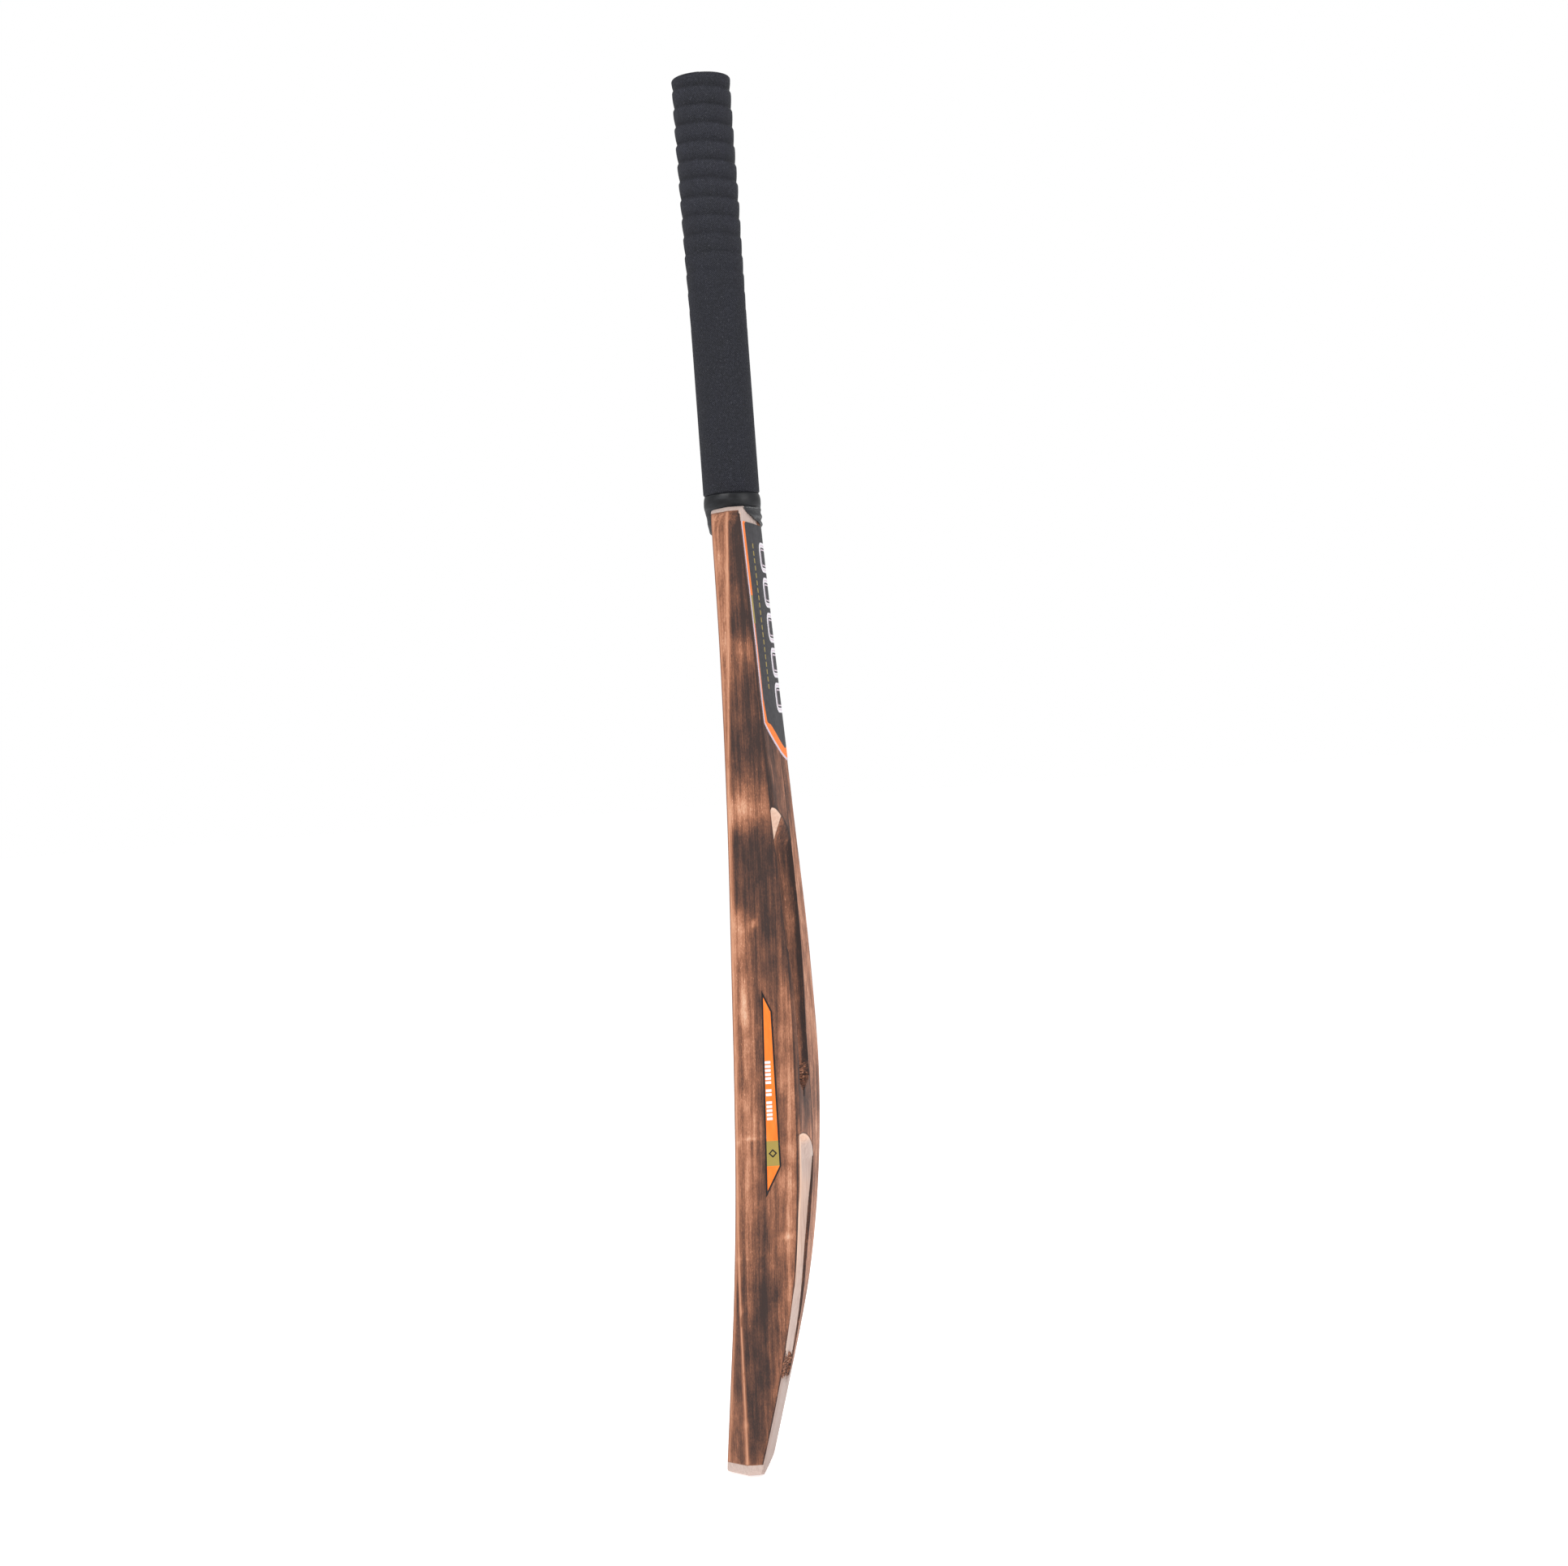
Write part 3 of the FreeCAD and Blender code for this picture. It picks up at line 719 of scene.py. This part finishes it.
burnFace = dict(
    height=[0, 9, 60, 120, 190, 260, 310, 350, 395, 430, 500, 582],
    level=[.35, .55, .66, .50, .44, .56, .42, .74, .44, .66, .60, .55],
)
pale = dict(
    toeBand=8.5,          # top of the bare toe at the face and edges
    backToe=53.0,         # and at the back
    shoulder=578.4,       # the wood is bare above this, and at the back above backTop
    backTop=571.5,
    toeLevel=.36,         # burn levels that stand for the shades of bare wood
    backToeLevel=.26,
    leafLevel=.47,
    leafFrom=368,         # the bare leaf in the upper scoop lies between these heights
    leafTo=402,
    leafFoot=386,         # its lower side: height at the corner, slope, and lean across
    leafSlope=.42,
    leafLean=.03,
    scoopTo=210,          # nothing is bare in the lower scoop above this
)
# lengthwise bands over the edge: place between facet and back corner, half width, change of burn
ridges = [(0.44, 0.08, 0.16), (0.68, 0.06, 0.10), (0.20, 0.07, -0.20), (0.86, 0.08, -0.14)]
# small marks on the edges: behind the axis, height, half width, half height, change of burn
knots = [
    (-4.5, 331, 1.6, 1.8, -.6), (2.2, 144, 4.5, 1.3, -.45), (1.0, 141, 1.0, 4.5, -.25),
    (-28.0, 132, 1.4, 2.2, -.5), (-28.8, 101, 1.3, 2.0, -.5), (-31.0, 33, 1.5, 2.4, -.5),
    (-15.5, 203, 5.0, 1.3, -.3), (-24.6, 201, 2.0, 1.5, -.4),
]


def levelAt(table, name, z):
    # one column of a burn table at a height
    return smoothCurve(z, table["height"], table[name])


def threeLevels(table, names, f, z):
    # straight from the first column to the second at the turn, then straight to the third at 1
    first, second, third = (levelAt(table, name, z) for name in names)
    turn = table["turn"]
    return np.where(f < turn, first + (second - first) * f / turn,
                    second + (third - second) * (f - turn) / (1 - turn))


def hump(distance, wide):
    # a bell curve: 1 at no distance, fading on both sides
    return np.exp(-((distance / wide) ** 2))


def markBlade(piece):
    # works out for every vertex: burn level, distance inside unburnt wood, worn corners,
    # dark lines (painted shade along the scoops' rims and arches) and torn wood
    x, y, z = vertexPlaces(piece)
    x, b = np.abs(x), y - axisY
    face, facet, corner = (curveAt(name, z) for name in ("face", "facet", "corner"))
    width = widthAt(z)
    far, near = rims(z)
    up = np.clip((b - facet) / (corner - facet), 0, 1)
    edge = threeLevels(burnEdge, ("front", "middle", "back"), up, z)
    long = smoothStep(z, 60, 110) * (1 - smoothStep(z, 285, 305))
    edge = edge + long * sum(size * hump(up - at, wide) for at, wide, size in ridges)
    inward = np.clip((width - x) / (width - 4), 0, 1)
    back = threeLevels(burnBack, ("corner", "middle", "spine"), inward, z)
    flank = smoothStep(far - x, -0.3, 0.5)
    back = back + (levelAt(burnBack, "spine", z) - back) * flank * (z < 405)
    front = (levelAt(burnFace, "level", z) + 0.2 * ripple(61, x / 17, z / 60)
             + 0.15 * ripple(62, x / 6, z / 90))
    onEdge = smoothStep(x, width - 0.5, width - 0.1) * (b < corner + 0.3) * (b > facet - 0.3) > 0.5
    onFacet = (b < facet) * smoothStep(b, face + 0.2, face + 1.0) > 0.5
    onFace = b < face + 0.6
    onBack = ~onFace & ~onFacet & ~onEdge
    char = np.select([onFace, onFacet, onEdge], [front, levelAt(burnEdge, "facet", z), edge], back)
    spots = sum(size * np.exp(-(((b - at) / wide) ** 2 + ((z - high) / tall) ** 2))
                for at, high, wide, tall, size in knots)
    char = char + spots * ~onBack * ~onFace

    # unburnt wood: toe, shoulders, lower scoop and a leaf-shaped spot high in the upper scoop
    torn = tornInward(x, z, lowerScoop)
    backToe = np.maximum(pale["backToe"] - z, -torn) + 0.5 * ripple(63, x / 3)
    toeRaw = np.where(onBack & (b > corner + 0.2), backToe, pale["toeBand"] - z)
    shoulderRaw = z - np.where(onBack, pale["backTop"], pale["shoulder"])
    lowerArch = archInward(x, z, lowerScoop, far, near)
    farDepth = lowerScoop["deep"] * quarterWall(x - far, scoopForm["farWall"])
    rimDark = 0.35 + 1.6 * (1 - smoothStep(z, 150, 196))
    lower = np.minimum.reduce([2 * (farDepth - rimDark), near - x + 2, 2 * lowerArch - 0.6, torn - 15])
    lower = np.where((z < pale["scoopTo"]) & (x > far - 0.2), lower, -9)
    arch = archInward(x, z, upperScoop, far, near)
    rise = b - corner - bladeForm["bevelBack"]
    lowSide = pale["leafSlope"] * (z - pale["leafFoot"]) - rise - pale["leafLean"] * np.clip(45 - x, 0, 40)
    leaf = np.minimum(arch - 0.8, lowSide)
    leaf = np.where((z > pale["leafFrom"]) & (z < pale["leafTo"]), leaf, -6)
    char = char - (char - pale["leafLevel"]) * smoothStep(leaf, -4.5, -0.5) * onBack * (arch > 0)
    char = np.where((toeRaw > -0.4) | (shoulderRaw > -0.4), pale["toeLevel"], char)
    char = np.where((toeRaw > -0.4) & onBack, pale["backToeLevel"], char)
    raw = np.maximum(toeRaw, shoulderRaw)
    raw = np.where(onBack, np.maximum.reduce([raw, lower, leaf]), raw)

    # worn strips on the long corners and dark lines beside them; the dark lines along the scoops' far rims
    # and arches are painted shade
    frontGap = np.hypot(x - np.maximum(width - facet + face, 6), b - face)
    facetGap = np.hypot(x - width, b - facet)
    backGap = np.hypot(x - width, b - corner)
    wear = np.maximum(hump(facetGap, 1.1), 0.8 * hump(np.clip(frontGap - 1.2, 0, 9), 1.6))
    rimGap = np.where((z < 440) & (x < 40), np.abs(x - far), 9)
    line = np.maximum.reduce([
        hump(backGap, 0.55),
        0.8 * hump(frontGap, 0.6),
        # painted shade along the scoops' far rims and along the arches at their upper ends
        hump(rimGap, 0.7) * onBack,
        hump(arch, 0.8) * onBack * (z > 378) * (z < 403),
        0.7 * hump(lowerArch, 0.6) * onBack * (z > 184) * (z < 206),
    ])
    addMark(piece, "flow", smoothCurve(z, bladeForm["flowHeight"], bladeForm["flow"]))
    addMark(piece, "char", char)
    addMark(piece, "raw", np.clip(raw, -6, 6))
    addMark(piece, "wear", wear)
    addMark(piece, "line", line)
    addMark(piece, "torn", tornMask(x, z) * onBack)


# ---- small tools for materials
def colour(red, green, blue):
    # a colour by its display values, 0 to 255
    value = np.array([red, green, blue]) / 255
    linear = np.where(value <= 0.04045, value / 12.92, ((value + 0.055) / 1.055) ** 2.4)
    return (*linear.tolist(), 1.0)


def addNode(tree, kind, values=None, **settings):
    node = tree.nodes.new(kind)
    for key, value in settings.items():
        setattr(node, key, value)
    for key, value in (values or {}).items():
        if isinstance(value, bpy.types.NodeSocket):
            tree.links.new(value, node.inputs[key])
        else:
            node.inputs[key].default_value = value
    return node


def calc(tree, operation, *values):
    return addNode(tree, "ShaderNodeMath", dict(enumerate(values)), operation=operation).outputs[0]


def plus(tree, first, second):
    return calc(tree, "ADD", first, second)


def minus(tree, first, second):
    return calc(tree, "SUBTRACT", first, second)


def times(tree, first, second):
    return calc(tree, "MULTIPLY", first, second)


def remap(tree, value, low, high, toLow=0.0, toHigh=1.0):
    values = {"Value": value, "From Min": low, "From Max": high, "To Min": toLow, "To Max": toHigh}
    return addNode(tree, "ShaderNodeMapRange", values, interpolation_type="SMOOTHSTEP").outputs[0]


def herePlace(tree):
    return addNode(tree, "ShaderNodeTexCoord").outputs["Object"]


def axes(tree):
    return addNode(tree, "ShaderNodeSeparateXYZ", {0: herePlace(tree)}).outputs


def noise(tree, stretch, detail=3.0, rough=0.5, shift=(0, 0, 0), where=None):
    # noise between 0 and 1; stretch is how many waves fit in a metre along each axis
    values = {"Vector": where or herePlace(tree), "Scale": stretch, "Location": shift}
    placed = addNode(tree, "ShaderNodeMapping", values).outputs[0]
    values = {"Vector": placed, "Scale": 1.0, "Detail": detail, "Roughness": rough}
    return addNode(tree, "ShaderNodeTexNoise", values).outputs["Fac"]


def ramp(tree, value, stops):
    node = addNode(tree, "ShaderNodeValToRGB", {"Fac": value})
    points = node.color_ramp.elements
    while len(points) < len(stops):
        points.new(0.5)
    for point, (place, shade) in zip(points, stops):
        point.position = place
        point.color = colour(*shade)
    return node.outputs["Color"]


def blend(tree, mask, low, high):
    return addNode(tree, "ShaderNodeMix", {0: mask, 6: low, 7: high}, data_type="RGBA").outputs[2]


def blendNumber(tree, mask, low, high):
    return addNode(tree, "ShaderNodeMix", {0: mask, 2: low, 3: high}, data_type="FLOAT").outputs[0]


def mark(tree, name):
    return addNode(tree, "ShaderNodeAttribute", attribute_name=name).outputs["Fac"]


def makeGroup(name, inputs, outputs):
    # an empty node group with named number inputs and named outputs
    group = bpy.data.node_groups.new(name, "ShaderNodeTree")
    for key, value in inputs.items():
        socket = group.interface.new_socket(name=key, in_out="INPUT", socket_type="NodeSocketFloat")
        socket.default_value = value
    for key, kind in outputs.items():
        group.interface.new_socket(name=key, in_out="OUTPUT", socket_type=kind)
    given = group.nodes.new("NodeGroupInput").outputs
    result = group.nodes.new("NodeGroupOutput").inputs
    return group, given, result


def makeMaterial(name, specular):
    material = bpy.data.materials.new(name)
    material.use_nodes = True
    tree = material.node_tree
    shader = tree.nodes["Principled BSDF"]
    shader.inputs["Specular IOR Level"].default_value = specular
    return material, tree


def finishMaterial(material, base, rough, height, relief):
    # relief is the bump's depth in millimetres
    tree = material.node_tree
    shader = tree.nodes["Principled BSDF"]
    tree.links.new(base, shader.inputs["Base Color"])
    tree.links.new(rough, shader.inputs["Roughness"])
    bump = addNode(tree, "ShaderNodeBump", {"Height": height, "Distance": relief * mm, "Strength": 1.0})
    tree.links.new(bump.outputs[0], shader.inputs["Normal"])
    return material


# ---- scorched wood, for the willow and the cane tongue
scorchStops = [
    (0.00, (222, 180, 152)), (0.14, (206, 150, 120)), (0.32, (176, 120, 92)), (0.50, (140, 93, 71)),
    (0.68, (107, 73, 59)), (0.84, (84, 60, 52)), (1.00, (62, 49, 46)),
]
# bare wood: grey at the toe and shoulders, warm in the scoops
greyStops = [(0.10, (172, 149, 141)), (0.50, (197, 176, 167)), (0.90, (214, 196, 187))]
warmStops = [(0.15, (204, 160, 136)), (0.50, (226, 190, 168)), (0.85, (238, 210, 192))]


def makeScorch():
    # burn level plus lengthwise streaks, blotches, fine grain and pale flecks, turned into colour by a ramp
    inputs = dict(Char=0.5, Raw=-6.0, Wear=0.0, Line=0.0, Torn=0.0, Streaks=1.0, Flecks=1.0)
    outputs = dict(Color="NodeSocketColor", Roughness="NodeSocketFloat", Height="NodeSocketFloat")
    group, given, result = makeGroup("scorchedWood", inputs, outputs)
    # the grain follows the blade's bend
    here = herePlace(group)
    flow = times(group, mark(group, "flow"), mm)
    bend = addNode(group, "ShaderNodeCombineXYZ", {"Y": flow}).outputs[0]
    where = addNode(group, "ShaderNodeVectorMath", {0: here, 1: bend}, operation="SUBTRACT").outputs[0]

    def centred(value, size):
        return times(group, minus(group, value, 0.5), size)

    def swung(start, *parts):
        # the start with each texture's swing about its middle added
        for texture, size in parts:
            start = plus(group, start, centred(texture, size))
        return start

    hair = noise(group, (2300, 2300, 85), 4, 0.6, where=where)
    grain = noise(group, (820, 820, 34), 4, 0.6, (3, 0, 0), where)
    streak = noise(group, (300, 300, 6), 3, 0.55, (7, 2, 0), where)
    blotch = noise(group, (95, 95, 50), 5, 0.68, (1, 5, 2), where)
    cloud = noise(group, (30, 30, 17), 2, 0.5, (4, 1, 9), where)
    fuzz = noise(group, (1500, 1500, 620), 3, 0.6, (5, 5, 5), where)
    fleck = remap(group, noise(group, (1500, 1500, 430), 2, 0.55, (2, 8, 1), where), 0.60, 0.72)
    burn = swung(plus(group, given["Char"], 0.03), (blotch, 0.95), (cloud, 0.34))
    lines = swung(centred(streak, 0.85), (grain, 0.55), (hair, 0.50))
    burn = swung(plus(group, burn, times(group, lines, given["Streaks"])), (fuzz, 0.48))
    # flecks where the burn is middling
    middling = times(group, remap(group, burn, 0.98, 0.6), remap(group, cloud, 0.36, 0.6))
    flecks = times(group, times(group, fleck, middling), given["Flecks"])
    burn = minus(group, burn, times(group, flecks, 0.30))
    # long corners are rubbed back to a light brown
    rubbed = remap(group, swung(blotch, (hair, 0.5)), 0.28, 0.46, 0.45, 1.0)
    worn = times(group, given["Wear"], rubbed)
    burn = blendNumber(group, worn, burn, swung(0.14, (hair, 0.5)))
    # darker along the lines: painted shade at the scoops' rims and arches, dark lines along the long
    # corners
    burn = plus(group, burn, times(group, given["Line"], 0.55))
    # torn fibres run across and are dark between
    across = noise(group, (230, 420, 1100), 3, 0.7, (0, 3, 3))
    mixed = blendNumber(group, given["Torn"], burn, swung(0.66, (across, 3.4)))
    scorched = ramp(group, mixed, scorchStops)
    rawGrain = swung(0.5, (grain, 0.9), (hair, 0.6))
    greyWood = ramp(group, rawGrain, greyStops)
    warmWood = ramp(group, rawGrain, warmStops)
    rawWood = blend(group, remap(group, given["Char"], 0.41, 0.48), greyWood, warmWood)
    shaded = times(group, remap(group, given["Char"], 0.36, 0.28), 0.42)
    rawWood = blend(group, shaded, rawWood, colour(132, 108, 102))
    # the unburnt boundary wanders a little along the grain
    distance = swung(given["Raw"], (grain, 0.5), (fuzz, 0.5))
    isRaw = remap(group, distance, -0.15, 0.3)
    rimBurn = times(group, remap(group, distance, -1.1, -0.2), minus(group, 1.0, isRaw))
    scorched = blend(group, times(group, rimBurn, 0.55), scorched, colour(84, 58, 46))
    shade = blend(group, isRaw, scorched, rawWood)
    group.links.new(shade, result["Color"])
    rough = swung(remap(group, mixed, 0.0, 1.0, 0.52, 0.66), (grain, 0.18))
    group.links.new(rough, result["Roughness"])
    height = plus(group, times(group, hair, 0.4), times(group, grain, 0.6))
    height = minus(group, height, times(group, mixed, 0.3))
    deep = times(group, times(group, across, 6.0), given["Torn"])
    group.links.new(plus(group, height, deep), result["Height"])
    return group


def makeWillow(scorch):
    material, tree = makeMaterial("scorchedWillow", 0.18)
    values = {key: mark(tree, key.lower()) for key in ("Char", "Raw", "Wear", "Line", "Torn")}
    found = addNode(tree, "ShaderNodeGroup", values, node_tree=scorch).outputs
    return finishMaterial(material, found["Color"], found["Roughness"], found["Height"], 0.16)


def makeCane(scorch):
    # the same scorching, lighter and finer, with the pale end grain of the slips on top
    material, tree = makeMaterial("scorchedCane", 0.18)
    values = {"Char": 0.34, "Raw": -6.0, "Streaks": 1.25, "Flecks": 0.6}
    found = addNode(tree, "ShaderNodeGroup", values, node_tree=scorch).outputs
    values = {"Vector": herePlace(tree), "Scale": 1500.0}
    pores = addNode(tree, "ShaderNodeTexVoronoi", values).outputs["Distance"]
    endGrain = ramp(tree, pores, [(0.0, (92, 66, 44)), (0.3, (176, 138, 98)), (0.7, (214, 182, 138))])
    isEnd = remap(tree, axes(tree)["Z"], (caneTop - 0.3) * mm, (caneTop - 0.1) * mm)
    shade = blend(tree, isEnd, found["Color"], endGrain)
    return finishMaterial(material, shade, found["Roughness"], found["Height"], 0.10)


# ---- black parts
def aroundHandle(tree):
    # turn round the handle's axis, 0 to 1, and height in metres
    split = axes(tree)
    turn = calc(tree, "ARCTAN2", minus(tree, split["Y"], axisY * mm), split["X"])
    return times(tree, turn, 0.5 / math.pi), split["Z"]


knitForm = dict(around=84, up=0.00135, relief=0.24)


def makeGripRubber():
    # a lattice of small lozenges: the product of two sets of slanting ridges
    material, tree = makeMaterial("gripRubber", 0.22)
    turn, high = aroundHandle(tree)
    across = times(tree, turn, knitForm["around"] * math.pi)
    along = times(tree, high, math.pi / knitForm["up"])
    wobble = times(tree, noise(tree, (420, 420, 420), 2), 0.9)
    along = plus(tree, along, wobble)
    ridge = lambda kind: calc(tree, "ABSOLUTE", calc(tree, "SINE", calc(tree, kind, across, along)))
    lattice = times(tree, ridge("ADD"), ridge("SUBTRACT"))
    patchy = noise(tree, (90, 90, 55), 4, 0.6)
    rubbed = noise(tree, (1300, 1300, 900), 3, 0.6)
    dust = remap(tree, noise(tree, (1700, 1700, 1100), 2, 0.6), 0.60, 0.72)
    # painted shade: the lattice's grooves are darker than its raised lozenges; the patchy tone varies at
    # random
    tone = plus(tree, times(tree, lattice, 0.40), times(tree, patchy, 0.45))
    tone = plus(tree, tone, times(tree, minus(tree, rubbed, 0.5), 1.1))
    # painted shade: darker in the notches between the rings, lighter on their crests
    tone = plus(tree, tone, times(tree, minus(tree, mark(tree, "crest"), 0.5), 0.30))
    base = ramp(tree, tone, [(0.05, (25, 26, 31)), (0.45, (38, 39, 46)), (0.85, (59, 60, 69))])
    base = blend(tree, times(tree, dust, 0.30), base, colour(112, 112, 120))
    rough = remap(tree, patchy, 0.3, 0.7, 0.62, 0.80)
    height = plus(tree, lattice, times(tree, rubbed, 0.7))
    return finishMaterial(material, base, rough, height, knitForm["relief"])


def makeTape(name, crumple, gloss):
    material, tree = makeMaterial(name, 0.35)
    slack = noise(tree, (130, 130, 420), 4, 0.6)
    fine = noise(tree, (1300, 1300, 1300), 3, 0.6)
    base = ramp(tree, slack, [(0.3, (20, 21, 24)), (0.55, (28, 29, 33)), (0.75, (42, 44, 49))])
    rough = plus(tree, remap(tree, slack, 0.3, 0.7, gloss, gloss + 0.18), times(tree, fine, 0.08))
    height = plus(tree, slack, times(tree, fine, 0.12))
    return finishMaterial(material, base, rough, height, crumple)


def makeRubberStrip():
    material, tree = makeMaterial("stripRubber", 0.3)
    fine = noise(tree, (1500, 1500, 700), 3, 0.6)
    base = ramp(tree, fine, [(0.3, (30, 29, 30)), (0.7, (58, 56, 57))])
    return finishMaterial(material, base, remap(tree, fine, 0.3, 0.7, 0.6, 0.8), fine, 0.08)


def makeTwine():
    # close turns of thread, each a rounded ridge with a slanting twist
    material, tree = makeMaterial("bindingTwine", 0.3)
    turn, high = aroundHandle(tree)
    wind = times(tree, plus(tree, high, times(tree, turn, 0.0011)), math.pi / 0.0011)
    ridge = calc(tree, "ABSOLUTE", calc(tree, "SINE", wind))
    twist = calc(tree, "SINE", plus(tree, times(tree, turn, 520.0), times(tree, wind, 2.0)))
    fuzz = noise(tree, (2200, 2200, 2200), 2)
    # painted shade: darker in the grooves between the turns, lighter on their tops
    tone = plus(tree, times(tree, ridge, 0.6), times(tree, fuzz, 0.5))
    base = ramp(tree, tone, [(0.15, (84, 66, 50)), (0.6, (182, 158, 124)), (1.0, (214, 196, 164))])
    height = plus(tree, ridge, times(tree, twist, 0.15))
    return finishMaterial(material, base, remap(tree, fuzz, 0.3, 0.7, 0.7, 0.9), height, 0.3)


# ---- stickers
inks = dict(
    orange=(252, 128, 44), gold=(164, 143, 74), white=(238, 234, 240),
    lilac=(218, 200, 212), pink=(236, 142, 104), border=(26, 25, 27),
)


def placeAlong(tree, axis, start=0.0):
    # the place along one axis, in millimetres from the start
    return calc(tree, "MULTIPLY_ADD", axes(tree)[axis], 1 / mm, -start)


def onto(tree, base, mask, name):
    # prints an ink over the base where the mask is 1
    return blend(tree, mask, base, colour(*inks[name]))


def between(tree, value, low, high, soft=0.12):
    rise = remap(tree, value, low - soft, low + soft)
    fall = remap(tree, value, high + soft, high - soft)
    return times(tree, rise, fall)


def roundedBars(tree, across, up, start, pitch, halfAcross, halfUp, corner):
    # distance to a row of rounded oblongs, negative inside
    cell = calc(tree, "FRACT", calc(tree, "DIVIDE", minus(tree, up, start), pitch))
    local = times(tree, minus(tree, cell, 0.5), pitch)
    squares = []
    for value, half in ((across, halfAcross), (local, halfUp)):
        out = calc(tree, "MAXIMUM", minus(tree, calc(tree, "ABSOLUTE", value), half - corner), 0.0)
        squares.append(times(tree, out, out))
    return minus(tree, calc(tree, "SQRT", plus(tree, *squares)), corner)


def finishFilm(material, base):
    # light rubbing on a printed film
    tree = material.node_tree
    rub = noise(tree, (700, 700, 120), 4, 0.65, (5, 2, 2))
    worn = times(tree, remap(tree, rub, 0.60, 0.78), 0.35)
    base = blend(tree, worn, base, colour(186, 178, 180))
    rough = calc(tree, "MULTIPLY_ADD", rub, 0.25, 0.36)
    fine = noise(tree, (1600, 1600, 1600), 2)
    return finishMaterial(material, base, rough, plus(tree, rub, times(tree, fine, 0.2)), 0.03)


def makeBackSticker():
    material, tree = makeMaterial("backStickerFilm", 0.2)
    across, up = placeAlong(tree, "X"), placeAlong(tree, "Z")
    margin = mark(tree, "margin")
    mottle = noise(tree, (300, 300, 300), 3)
    base = ramp(tree, mottle, [(0.3, (44, 43, 47)), (0.7, (60, 58, 62))])
    # side stripe in three lengths, then the widening band round the pointed end
    lengths = (("orange", 6.4, 527, 580), ("gold", 5.8, 510, 527), ("pink", 4.2, 464, 510))
    for name, width, bottom, top in lengths:
        stripe = times(tree, between(tree, margin, 1.2, width), between(tree, up, bottom, top))
        base = onto(tree, base, stripe, name)
    bandWidth = remap(tree, up, 470, 442, 4.2, 8.6)
    inBand = remap(tree, minus(tree, bandWidth, margin), 0.0, 0.3)
    base = onto(tree, base, times(tree, inBand, remap(tree, up, 464.4, 463.6)), "orange")
    base = onto(tree, base, remap(tree, margin, 1.9, 1.5), "lilac")
    # row of plain outlined bars down the middle, and short gold dashes beside it
    inRow = between(tree, up, 455, 563)
    bars = roundedBars(tree, across, up, 455.0, 21.6, 17.0, 9.4, 6.5)
    for name, low, high in (("white", -3.2, -0.2), ("lilac", -2.3, -1.6), ("lilac", -5.0, -4.2)):
        base = onto(tree, base, times(tree, between(tree, bars, low, high), inRow), name)
    beside = minus(tree, calc(tree, "ABSOLUTE", across), 31.5)
    dashes = roundedBars(tree, beside, up, 470.0, 4.5, 0.9, 1.5, 0.3)
    inDash = remap(tree, dashes, 0.1, -0.1)
    base = onto(tree, base, times(tree, inDash, between(tree, up, 470, 560)), "gold")
    return finishFilm(material, base)


def makeEdgeSticker():
    material, tree = makeMaterial("edgeStickerFilm", 0.25)
    behind, up = placeAlong(tree, "Y", axisY), placeAlong(tree, "Z")
    middle = plus(tree, behind, calc(tree, "MULTIPLY_ADD", up, -0.0327, 9.53))
    tint = noise(tree, (260, 260, 90), 3)
    base = ramp(tree, tint, [(0.3, (250, 118, 36)), (0.7, (255, 136, 52))])
    base = onto(tree, base, between(tree, up, 186, 201), "gold")
    # three groups of plain bars, a small lozenge and the border
    bars = roundedBars(tree, minus(tree, middle, -0.9), up, 213.0, 2.4, 1.7, 0.8, 0.3)
    groups = between(tree, up, 213, 225)
    for low, high in ((227.4, 232.2), (234.6, 249)):
        groups = plus(tree, groups, between(tree, up, low, high))
    base = onto(tree, base, times(tree, remap(tree, bars, 0.1, -0.1), groups), "white")
    fromLozenge = calc(tree, "ABSOLUTE", minus(tree, up, 193.5))
    lozenge = plus(tree, calc(tree, "ABSOLUTE", middle), fromLozenge)
    base = onto(tree, base, between(tree, lozenge, 1.5, 2.6), "border")
    base = onto(tree, base, remap(tree, mark(tree, "margin"), 1.05, 0.85), "border")
    return finishFilm(material, base)


def makeFloorPaint():
    material, tree = makeMaterial("paleFloor", 0.0)
    shader = tree.nodes["Principled BSDF"]
    shader.inputs["Emission Color"].default_value = (1, 1, 1, 1)
    shader.inputs["Emission Strength"].default_value = 0.62
    speckle = noise(tree, (35, 35, 35), 3)
    base = ramp(tree, speckle, [(0.3, (240, 240, 240)), (0.7, (243, 243, 243))])
    return finishMaterial(material, base, remap(tree, speckle, 0.3, 0.7, 0.8, 0.9), speckle, 0.02)


def dress(piece, material):
    piece.data.materials.clear()
    piece.data.materials.append(material)


def dressNodes(names, material):
    for name in names:
        dress(bpy.data.objects[name], material)


blade = makeBlade()
markBlade(blade)
grip = makeGrip()
band = makeBand()
wrap = makeWrap()
backFilm = makeBackLabel()
edgeFilms = [makeEdgeLabel(1, "edgeLabelRight", "edge_label_right"),
             makeEdgeLabel(-1, "edgeLabelLeft", "edge_label_left")]
print("pieces made")

scorch = makeScorch()
dress(blade, makeWillow(scorch))
dress(grip, makeGripRubber())
dress(band, makeTape("bandTape", 0.10, 0.26))
dress(wrap, makeTape("skirtTape", 0.35, 0.34))
dress(backFilm, makeBackSticker())
edgePaint = makeEdgeSticker()
for film in edgeFilms:
    dress(film, edgePaint)
sides = ("left", "centre", "right")
layers = ("front", "middle", "back")
dressNodes([f"cane_{side}_{layer}" for side in sides for layer in layers], makeCane(scorch))
dressNodes(["rubber_strip_left", "rubber_strip_right"], makeRubberStrip())
dressNodes(["twine_binding"], makeTwine())
print("materials made")

floor = makeFloor()
dress(floor, makeFloorPaint())
makeLight()
makeCamera()
print("floor, light and camera made")
